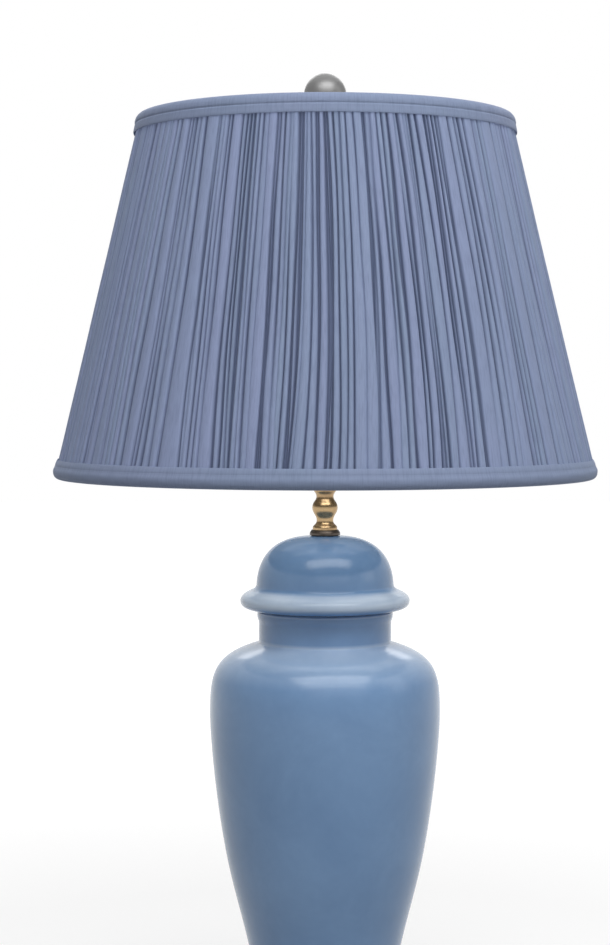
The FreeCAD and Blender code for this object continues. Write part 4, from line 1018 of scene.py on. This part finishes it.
# ------------------------------------------------------------------ the shade
@dataclass
class GatheredShade:
    """The empire shade: gathered cloth, a binding on each edge and a smooth lining."""

    shelf: FinishShelf
    top: float = 772.3
    bottom: float = 470.0
    top_radius: float = 156.2
    bottom_radius: float = 228.2
    cloth_low: float = 471.8
    cloth_high: float = 770.5
    back_inset: float = 4.75
    half_fold: tuple[float, ...] = (0.0, 0.09, 0.2, 0.34, 0.52, 0.74)
    crown: float = 1.3
    crest_inset: float = 1.2
    thinnest: float = 0.25
    hem: float = 4.0
    folds: int = 206
    rows: int = 36
    seed: int = 213
    drift: float = 0.13
    wander: float = 0.0022
    lining_inset: float = 8.8
    lining_low: float = 471.9
    lining_high: float = 766.4
    lining_gap: float = 0.15
    lining_thick: float = 0.6
    lining_slack: float = 0.5
    lining_rows: int = 30
    lining_columns: int = 480
    lining_middle: float = 180.0
    ribs: int = 8
    first_rib: float = 22.5
    rib_ridge: float = 0.25
    rib_width: float = 2.0
    arms: int = 3
    first_arm: float = 90.0
    arm_level: float = 769.0
    arm_notch: float = 1.8
    arm_notch_start: float = 138.5
    arm_notch_end: float = 149.5
    ring_columns: int = 480
    binding_step: float = 1.2
    turn_in: float = 11.4
    turn_in_outer: float = 10.1
    top_low: float = 756.4
    top_fold: float = 763.7
    top_turn_low: float = 759.3
    top_pocket: float = 771.0
    bottom_high: float = 484.9
    bottom_fold: float = 480.0
    bottom_turn_high: float = 483.0
    bottom_pocket: float = 471.4
    roll: float = 229.0
    roll_drop: float = 1.5

    def crest(self, level: Any) -> Any:
        """Return the cone's radius at a level: it grows evenly from the top down."""
        share = (self.top - level) / (self.top - self.bottom)
        return self.top_radius + (self.bottom_radius - self.top_radius) * share

    def beside(self, level: float, out: float, lift: float = 0.0) -> Pair:
        """Return a section's point that far outside the cone at a level, then lifted."""
        return self.crest(level) + out, level + lift

    def fold_edges(self, rng: np.random.Generator, share: np.ndarray) -> np.ndarray:
        """Lay the folds' edges round the shade.

        Widths are drawn as wide, usual and fine folds, changed a little for each of three
        heights, and summed to one turn. Between the heights each edge follows the parabola
        through its three angles, and wanders a little along a sine.

        Args:
            rng: The shade's own random numbers.
            share: The height of each row, from 0 to 1, as a column.

        Returns:
            Angles, one row for each height and one column more than there are folds.
        """
        kind = rng.random(self.folds)
        wide = rng.uniform(1.5, 2.7, self.folds)
        usual = rng.uniform(0.6, 1.25, self.folds)
        fine = rng.uniform(0.34, 0.6, self.folds)
        width = np.where(kind < 0.15, wide, np.where(kind < 0.8, usual, fine))
        levels = []
        for _ in range(3):
            changed = width * np.exp(self.drift * rng.standard_normal(self.folds))
            levels.append(np.concatenate([[0.0], np.cumsum(changed) / changed.sum() * TURN]))
        low, high = (1 - share) * (1 - 2 * share), share * (2 * share - 1)
        middle = 4 * share * (1 - share)
        path = low * levels[0] + middle * levels[1] + high * levels[2]
        phase = rng.uniform(0.0, TURN, self.folds)
        wander = self.wander * np.sin(share * rng.uniform(5.0, 14.0, self.folds) + phase)
        return path + np.hstack([wander, wander[:, :1]])

    def groove_depths(self, rng: np.random.Generator, share: np.ndarray) -> np.ndarray:
        """Return each groove's depth at each height, some of them fading out at one end.

        A groove's depth is drawn as deep, middling or shallow. Where it fades, it loses a part
        of that along the smooth step from a third of the way to near that end.

        Args:
            rng: The shade's own random numbers.
            share: The height of each row, from 0 to 1, as a column.

        Returns:
            Depths in millimetres, one row for each height and one column for each fold.
        """
        kind = rng.random(self.folds)
        depth = np.where(kind < 0.45, rng.uniform(2.8, 3.9, self.folds),
                         np.where(kind < 0.75, rng.uniform(1.4, 2.7, self.folds),
                                  rng.uniform(0.4, 1.1, self.folds)))
        way = rng.choice([-1.0, 0.0, 1.0], self.folds, p=[0.3, 0.4, 0.3])
        loss = rng.uniform(0.35, 0.9, self.folds) * np.abs(way)
        near = np.where(way > 0, share, 1 - share)
        step = np.clip((near - 0.3) / 0.55, 0.0, 1.0)
        waves, phase = rng.uniform(3.0, 9.0, self.folds), rng.uniform(0, 6, self.folds)
        swing = 1 + 0.2 * np.sin(share * waves + phase)
        return depth * (1 - loss * step * step * (3 - 2 * step)) * swing

    def cloth_skin(self) -> Skin:
        """Work out the gathered cloth as one closed skin.

        Across a fold the radius is the cone's, less a narrow valley at each edge and a soft
        shoulder beside it, plus a low crown. A valley falls as one minus the distance over
        the groove's half width, to the power 1.5, and its two sides differ in width. The back
        is a plain cone.

        Returns:
            The surface with its groove mark, which the finish turns into painted shade, its tint
            mark and its cloth map.
        """
        rng = np.random.default_rng(self.seed)
        share = np.linspace(0.0, 1.0, self.rows)[:, None]
        edges = self.fold_edges(rng, share)
        depth = self.groove_depths(rng, share)
        waves, phase = rng.uniform(2.0, 8.0, self.folds), rng.uniform(0, TURN, self.folds)
        open_more = np.sin(share * waves + phase)
        half = rng.uniform(1.0, 2.2, self.folds) * (1 + 0.35 * open_more)
        side = rng.choice([-1.0, 1.0], self.folds, p=[0.65, 0.35])
        lean = side * rng.uniform(0.15, 0.65, self.folds)
        tint = np.clip(rng.normal(0.5, 0.22, self.folds), 0.0, 1.0)
        sink = rng.uniform(0.0, 0.7, self.folds)
        steps = np.array(self.half_fold)
        place = np.concatenate([0.5 * steps, [0.5], 1.0 - 0.5 * steps[:0:-1]])
        level = self.cloth_low + (self.cloth_high - self.cloth_low) * share
        radius = self.crest(level)
        span = np.diff(edges, axis=1)
        angle = edges[:, :-1, None] + span[:, :, None] * place
        width = (span * radius)[:, :, None]
        left, right = width * place, width * (1 - place)
        after = np.roll(np.arange(self.folds), -1)

        def valley(distance: np.ndarray, reach: np.ndarray, deep: np.ndarray) -> np.ndarray:
            """Return the valley's depth at a distance from its edge."""
            return deep[:, :, None] * np.clip(1 - distance / reach[:, :, None], 0, 1) ** 1.5

        def shoulder(distance: np.ndarray, turn: np.ndarray, deep: np.ndarray) -> np.ndarray:
            """Return the soft shoulder's depth beside a valley, longer on its leaning side."""
            reach = np.minimum(4.6 + 3.0 * turn[None, :, None], 0.78 * width)
            height = (0.42 + 0.34 * turn[None, :, None]) * deep[:, :, None]
            return height * np.clip(1 - distance / reach, 0, 1) ** 2

        fall = (valley(left, half * (1 + lean), depth) + shoulder(left, lean, depth)
                + valley(right, (half * (1 - lean))[:, after], depth[:, after])
                + shoulder(right, -lean[after], depth[:, after]))
        arch = 4 * place * (1 - place)
        crown = np.minimum(self.crown, 0.15 * width) * arch ** 0.8
        drop = fall + sink[None, :, None] * arch + self.crest_inset - crown
        drop = np.clip(drop, 0.05, self.back_inset - self.thinnest)
        reach = (radius[:, :, None] - drop).reshape(self.rows, -1)
        angle = angle.reshape(self.rows, -1)
        heights = np.broadcast_to(level, reach.shape)
        back_angle = angle[[-1, 0]]
        back_level = level[[-1, 0]]
        back_reach = np.broadcast_to(self.crest(back_level) - self.back_inset, back_angle.shape)
        angle = np.vstack([angle, back_angle])
        reach = np.vstack([reach, back_reach]) * MM
        heights = np.vstack([heights, np.broadcast_to(back_level, back_angle.shape)]) * MM
        grid = np.stack([reach * np.cos(angle), reach * np.sin(angle), heights], axis=-1)
        middle = np.vstack([grid[self.rows // 2], grid[self.rows // 2, :1]])
        across = np.concatenate([[0.0], np.cumsum(np.linalg.norm(np.diff(middle, axis=0), axis=1))])
        hems = [self.cloth_high + self.hem, self.cloth_low - self.hem]
        along = np.concatenate([level[:, 0], hems, level[0]]) * MM
        # The groove mark is how deep a point lies below the cone; the cloth's finish paints shade
        # by it.
        groove = np.clip(drop.reshape(self.rows, -1) / self.back_inset, 0.0, 1.0)
        marks = {"groove": np.vstack([groove, np.ones_like(back_angle)]),
                 "tint": np.repeat(tint, len(place))[None, :]}
        return Skin(grid, wrap_rows=True, marks=marks, cloth=(across, along))

    def build_cloth(self) -> None:
        skin = self.cloth_skin()
        cloth = skin.make("gathered_cloth")
        self.shelf.dress(cloth, Slot.SHADE_CLOTH, "shade", "shade_cover")

    def ring_skin(self, section: np.ndarray, pucker: np.ndarray) -> Skin:
        """Carry a binding's section round the shade, with small uneven puckers.

        The radius changes by the section's own pucker at each point times the sum of four
        waves round the shade, whose counts share no factor.

        Args:
            section: The section in millimetres.
            pucker: How far each point of the section may move, in millimetres.

        Returns:
            The surface with its cloth map.
        """
        angle = np.linspace(0.0, TURN, self.ring_columns, endpoint=False)
        phase = section[:, 1:] * 0.35
        wave = (0.45 * np.sin(11 * angle + 0.4) + 0.35 * np.sin(29 * angle + phase)
                + 0.3 * np.sin(53 * angle + 2.0 - phase) + 0.25 * np.sin(97 * angle + 1.1 + phase))
        reach = (section[:, :1] + pucker[:, None] * wave) * MM
        heights = np.broadcast_to(section[:, 1:] * MM, reach.shape)
        grid = np.stack([reach * np.cos(angle), reach * np.sin(angle), heights], axis=-1)
        edges = np.linalg.norm(np.diff(np.vstack([section, section[:1]]), axis=0), axis=1)
        along = np.concatenate([[0.0], np.cumsum(edges)]) * MM
        across = np.linspace(0.0, TURN, self.ring_columns + 1) * section[:, 0].mean() * MM
        return Skin(grid, wrap_rows=True, cloth=(across, along))

    def outside(self, section: np.ndarray) -> np.ndarray:
        """Return how freely each point may pucker: 0 beside the cloth, 1 from 2 mm outside it."""
        return np.clip((section[:, 0] - self.crest(section[:, 1]) - 0.8) / 1.2, 0.0, 1.0)

    def arm_notches(self) -> list[bpy.types.Object]:
        """Return a rod for each arm of the spider, where it passes through the top binding."""
        lift = np.array([0.0, 0.0, self.arm_level * MM])
        rods = []
        for number in range(self.arms):
            angle = math.radians(self.first_arm + 360.0 / self.arms * number)
            way = np.array([math.cos(angle), math.sin(angle), 0.0])
            rods.append(rod(f"arm_notch_{number}", way * self.arm_notch_start * MM + lift,
                            way * self.arm_notch_end * MM + lift, self.arm_notch * MM))
        return rods

    def build_top_binding(self) -> None:
        """Build the top binding: two flat folds outside, turned over the edge and down inside."""
        at, top, low, fold = self.beside, self.top, self.top_low, self.top_fold
        shape = Outline(*at(low, 0.3, 0.3))
        shape.curve(at(low, 0.9, -0.2), at(low + 1, 1.3, -0.6), at(low + 2, 1.4), 6)
        shape.line(at(fold - 0.7, 1.6), at(fold, 1.3), at(fold + 0.6, 1.6, 0.1))
        shape.curve(at(fold + 1.6, 2.3, -0.1), at(fold + 3.3, 2.4, -0.4), at(fold + 4.7, 2.1), 8)
        shape.curve(at(top - 1.7, 1.5), at(top, 0.3), at(top, -1.8), 8)
        shape.line(at(top, -9.6))
        shape.curve(at(top, -10.8), at(top, -self.turn_in, -0.6), at(top - 2, -self.turn_in), 6)
        shape.line(at(self.top_turn_low, -self.turn_in), at(self.top_turn_low, -self.turn_in_outer),
                   at(self.top_pocket, -self.turn_in_outer), at(self.top_pocket, 0.5))
        section = refine(soften(shape.points(), 0.4), self.binding_step)
        inside = np.clip((self.crest(section[:, 1]) - section[:, 0] - 10.6) / 0.8, 0.0, 1.0)
        pucker = 0.22 * self.outside(section) + 0.1 * inside
        binding = self.ring_skin(section, pucker).make("top_binding")
        cut(binding, self.arm_notches())
        self.shelf.dress(binding, Slot.BINDING_CLOTH, "shade", "shade_top_trim")

    def build_bottom_binding(self) -> None:
        """Build the bottom binding: a soft roll under the edge, flat above and turned in."""
        at, low, fold, high = self.beside, self.bottom, self.bottom_fold, self.bottom_high
        roll, drop, pocket = self.roll, self.roll_drop, self.bottom_pocket
        shape = Outline(*at(low, -self.turn_in, 2.2))
        shape.curve(at(low, -self.turn_in, 0.6), at(low, -10.6), at(low, -9.4), 6)
        shape.line((roll - 10.4, low))
        shape.curve((roll - 8.0, low - drop + 0.3), (roll - 6.6, low - drop),
                    (roll - 5.0, low - drop + 0.1), 8)
        shape.curve((roll - 1.6, low - drop + 0.3), (roll, low + 1.8), (roll, low + 4.8), 14)
        shape.curve((roll, low + 7.0), at(fold - 1.4, 1.6, -0.4), at(fold - 0.6, 1.5), 8)
        shape.line(at(fold, 1.35))
        shape.curve(at(fold + 1, 1.6, -0.1), at(fold + 3, 1.3), at(high, 0.5), 8)
        shape.line(at(high, 0.2, -0.2), at(pocket, 0.3), at(pocket, -self.turn_in_outer),
                   at(self.bottom_turn_high, -self.turn_in_outer),
                   at(self.bottom_turn_high, -self.turn_in))
        section = refine(soften(shape.points(), 0.4), self.binding_step)
        under = np.clip((low + 1.0 - section[:, 1]), 0.0, 1.0) * 0.3
        pucker = 0.26 * np.maximum(self.outside(section), under)
        piece = self.ring_skin(section, pucker).make("bottom_binding")
        self.shelf.dress(piece, Slot.BINDING_CLOTH, "shade", "shade_bottom_trim")

    def build_lining(self) -> None:
        """Build the lining: a stretched cone that shows its ribs faintly.

        The outer radius is the cone's, less the lining's inset and gap, and less the slack,
        which grows as the squared sine between ribs and as a parabola up the cone. The inner
        radius is less again by the thickness and by a bell-shaped ridge at each rib.
        """
        share = np.linspace(0.0, 1.0, self.lining_rows)[:, None]
        level = self.lining_low + (self.lining_high - self.lining_low) * share
        angle = np.linspace(0.0, TURN, self.lining_columns, endpoint=False)[None, :]
        from_first = angle - math.radians(self.first_rib)
        beside = np.angle(np.exp(1j * self.ribs * from_first)) / self.ribs
        ridge = self.rib_ridge * np.exp(-(beside / math.radians(self.rib_width)) ** 2)
        slack = self.lining_slack * np.sin(beside * self.ribs / 2) ** 2 * 4 * share * (1 - share)
        outer = self.crest(level) - self.lining_inset - self.lining_gap - slack
        inner = outer - self.lining_thick - ridge
        reach = np.vstack([outer, inner[::-1]]) * MM
        heights = np.broadcast_to(np.vstack([level, level[::-1]]), reach.shape) * MM
        turn = np.broadcast_to(angle, reach.shape)
        grid = np.stack([reach * np.cos(turn), reach * np.sin(turn), heights], axis=-1)
        across = np.linspace(0.0, TURN, self.lining_columns + 1) * self.lining_middle * MM
        along = np.concatenate([level[:, 0], level[::-1, 0], level[0]]) * MM
        piece = Skin(grid, wrap_rows=True, cloth=(across, along)).make("lining_cone")
        self.shelf.dress(piece, Slot.LINING_CLOTH, "shade", "shade_lining")

    def build(self) -> None:
        """Build the cloth, both bindings and the lining."""
        self.build_cloth()
        self.build_top_binding()
        self.build_bottom_binding()
        self.build_lining()


# ------------------------------------------------------------------ what stays from the frame
@dataclass
class FrameDresser:
    """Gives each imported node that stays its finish, and shades its round faces smoothly."""

    shelf: FinishShelf
    sharp: float = 32.0
    weld: float = 1e-6

    def smoothing(self) -> bpy.types.NodeTree:
        """Make the node group: join loose corners, shade faces smooth, keep sharp edges sharp.

        An edge stays sharp where its two faces turn by more than the sharp angle.

        Returns:
            The group.
        """
        group = bpy.data.node_groups.new("smooth_round_faces", "GeometryNodeTree")
        group.interface.new_socket("Geometry", in_out="INPUT", socket_type="NodeSocketGeometry")
        group.interface.new_socket("Geometry", in_out="OUTPUT", socket_type="NodeSocketGeometry")
        add = group.nodes.new
        start, end = add("NodeGroupInput"), add("NodeGroupOutput")
        weld = add("GeometryNodeMergeByDistance")
        weld.inputs["Distance"].default_value = self.weld
        faces, edges = add("GeometryNodeSetShadeSmooth"), add("GeometryNodeSetShadeSmooth")
        edges.domain = "EDGE"
        edges.inputs["Shade Smooth"].default_value = False
        angle, test = add("GeometryNodeInputMeshEdgeAngle"), add("FunctionNodeCompare")
        test.data_type, test.operation = "FLOAT", "GREATER_THAN"
        test.inputs["B"].default_value = math.radians(self.sharp)
        for source, goal in ((start.outputs[0], weld.inputs["Geometry"]),
                             (weld.outputs[0], faces.inputs["Geometry"]),
                             (faces.outputs[0], edges.inputs["Geometry"]),
                             (angle.outputs[0], test.inputs["A"]),
                             (test.outputs[0], edges.inputs["Selection"]),
                             (edges.outputs[0], end.inputs[0])):
            group.links.new(source, goal)
        return group

    def build(self) -> None:
        """Dress every node that still shows, by the slot that the record gives it."""
        slots = {part["node"]: part["material_slot"] for part in frame["record"]["subparts"]}
        group = self.smoothing()
        for name, node in sorted(frame["nodes"].items()):
            if node.hide_render:
                continue
            finish = self.shelf.get(Slot(slots[name]))
            if node.material_slots:
                for place in node.material_slots:
                    place.material = finish
            else:
                node.data.materials.append(finish)
            step = node.modifiers.new("smooth", "NODES")
            step.node_group = group
            log.info("%s keeps its shape, in %s", name, slots[name])


# ------------------------------------------------------------------ the studio
@dataclass(frozen=True)
class Panel:
    """One soft light panel that faces the lamp, by its direction and distance from it."""

    name: str
    azimuth: float
    elevation: float
    distance: float
    width: float
    height: float
    radiance: float
    through_cloth: bool = False
    target: Colour = (0.0, 0.0, 0.38)

    def build(self, cloth: bpy.types.Collection) -> None:
        """Hang the panel: its power is its radiance times pi and its area.

        Args:
            cloth: The thin cloth that some panels shine through.
        """
        data = bpy.data.lights.new(self.name, "AREA")
        data.shape = "RECTANGLE"
        data.size, data.size_y = self.width, self.height
        data.energy = self.radiance * math.pi * self.width * self.height
        light = bpy.data.objects.new(self.name, data)
        bpy.context.scene.collection.objects.link(light)
        turn, rise = math.radians(self.azimuth), math.radians(self.elevation)
        level = math.cos(rise)
        back = np.array([math.sin(turn) * level, -math.cos(turn) * level, math.sin(rise)])
        side = np.array([math.cos(turn), math.sin(turn), 0.0])
        frame_of = np.column_stack([side, np.cross(back, side), back])
        place = np.array(self.target) + back * self.distance
        light.matrix_world = Matrix.Translation(place.tolist()) @ Matrix(frame_of.tolist()).to_4x4()
        if self.through_cloth:
            light.light_linking.blocker_collection = cloth


PANELS = (
    Panel("key", 10.0, 58.0, 2.2, 2.7, 0.9, 3.9, through_cloth=True),
    Panel("key_low", 10.0, 40.0, 2.2, 2.4, 0.6, 2.3),
    Panel("overhead", 5.0, 99.0, 2.0, 2.6, 0.40, 1.0, through_cloth=True),
    Panel("overhead_back", 0.0, 122.0, 2.0, 2.4, 1.2, 0.5, through_cloth=True),
    Panel("front_low", 14.0, 24.0, 2.3, 2.4, 0.9, 0.6),
    Panel("right_side", 82.0, 25.0, 2.3, 1.0, 1.3, 0.9),
    Panel("back", 180.0, 35.0, 2.4, 2.0, 1.0, 2.2),
)


THIN_CLOTH = ("gathered_cloth", "lining_cone", "top_binding", "bottom_binding")


@dataclass
class Studio:
    """A pale floor, soft light from large panels and the photograph's camera.

    Some panels shine through the shade's cloth, so that the jar under it is lit openly too.
    """

    distance: float = 1.820
    eye: float = 0.549
    focal_pixels: float = 2150.0
    pitch: float = 2.4
    yaw: float = 0.533
    ambient: float = 0.17
    floor_colour: Colour = (0.40, 0.40, 0.40)
    floor_grain: float = 0.985
    floor_half: float = 8.0
    floor_drop: float = 0.0004
    lift_near: float = 0.62
    lift_far: float = 1.0
    near: float = 0.5
    far: float = 2.2

    def build_camera(self) -> None:
        """Set the camera in front, a little above the lamp's middle, looking slightly down."""
        data = bpy.data.cameras.new("camera")
        data.sensor_width = SENSOR_WIDTH
        data.lens = SENSOR_WIDTH * self.focal_pixels / PHOTO_HEIGHT
        camera = bpy.data.objects.new("camera", data)
        bpy.context.scene.collection.objects.link(camera)
        turn = (Matrix.Rotation(math.radians(self.yaw), 4, "Z")
                @ Matrix.Rotation(math.radians(90.0 - self.pitch), 4, "X"))
        camera.matrix_world = Matrix.Translation((0.0, -self.distance, self.eye)) @ turn
        bpy.context.scene.camera = camera

    def build_world(self) -> None:
        """Light the lamp evenly from all round, and show white behind it and in its gloss."""
        world = bpy.data.worlds.new("studio")
        bpy.context.scene.world = world
        world.use_nodes = True
        tree = world.node_tree
        tree.nodes.clear()
        path = tree.nodes.new("ShaderNodeLightPath")
        seen = path.outputs["Is Camera Ray"]
        for ray in ("Is Glossy Ray", "Is Transmission Ray"):
            either = tree.nodes.new("ShaderNodeMath")
            either.operation = "MAXIMUM"
            tree.links.new(seen, either.inputs[0])
            tree.links.new(path.outputs[ray], either.inputs[1])
            seen = either.outputs[0]
        strength = tree.nodes.new("ShaderNodeMapRange")
        strength.inputs[3].default_value = self.ambient
        strength.inputs[4].default_value = 1.0
        tree.links.new(seen, strength.inputs[0])
        back = tree.nodes.new("ShaderNodeBackground")
        back.inputs[0].default_value = (1.0, 1.0, 1.0, 1.0)
        tree.links.new(strength.outputs[0], back.inputs[1])
        out = tree.nodes.new("ShaderNodeOutputWorld")
        tree.links.new(back.outputs[0], out.inputs[0])

    def build_floor(self) -> None:
        """Lay the floor: a wide pale plane that shows white where no shadow falls on it."""
        half, level = self.floor_half, -self.floor_drop
        mesh = bpy.data.meshes.new("floor")
        mesh.from_pydata([(-half, -half, level), (half, -half, level), (half, half, level),
                          (-half, half, level)], [], [(0, 1, 2, 3)])
        floor = bpy.data.objects.new("floor", mesh)
        bpy.context.scene.collection.objects.link(floor)
        r = Recipe("floor_paper")
        place = r.place()
        grain = r.ramp(r.noise(place, 3.0), 0.3, 0.7, 0.0, 1.0)
        darker = tuple(self.floor_grain * part for part in self.floor_colour)
        r.set(base_color=r.mix(grain, self.floor_colour, darker), roughness=0.9,
              specular_ior_level=0.0)
        path = r.node("ShaderNodeLightPath")
        seen = r.math("MAXIMUM", path.outputs["Is Camera Ray"], path.outputs["Is Glossy Ray"])
        seen = r.math("MAXIMUM", seen, path.outputs["Is Transmission Ray"])
        away = r.node("ShaderNodeVectorMath", {0: place}, operation="LENGTH").outputs["Value"]
        lift = r.ramp(away, self.near, self.far, self.lift_near, self.lift_far)
        glow = r.node("ShaderNodeEmission", {1: r.math("MULTIPLY", seen, lift)})
        both = r.node("ShaderNodeAddShader", {0: r.shader.outputs[0], 1: glow.outputs[0]})
        r.tree.links.new(both.outputs[0], r.output.inputs[0])
        mesh.materials.append(r.material)

    def build(self) -> None:
        """Build the studio round the lamp."""
        bpy.context.scene.view_settings.view_transform = "Standard"
        self.build_camera()
        self.build_world()
        self.build_floor()
        cloth = bpy.data.collections.new("thin_cloth")
        for name in THIN_CLOTH:
            cloth.objects.link(bpy.data.objects[name])
        for member in cloth.collection_objects:
            member.light_linking.link_state = "EXCLUDE"
        for panel in PANELS:
            panel.build(cloth)
        log.info("studio ready, with %d panels", len(PANELS))


def main() -> None:
    """Build the lamp's dressed pieces in order, then the studio."""
    logging.basicConfig(level=logging.INFO, format="%(name)s: %(message)s")
    shelf = FinishShelf()
    for part in (CeramicJar(shelf), TurnedMetal(shelf), LampBulb(shelf), GatheredShade(shelf),
                 FrameDresser(shelf), Studio()):
        part.build()


if __name__ == "__main__":
    main()
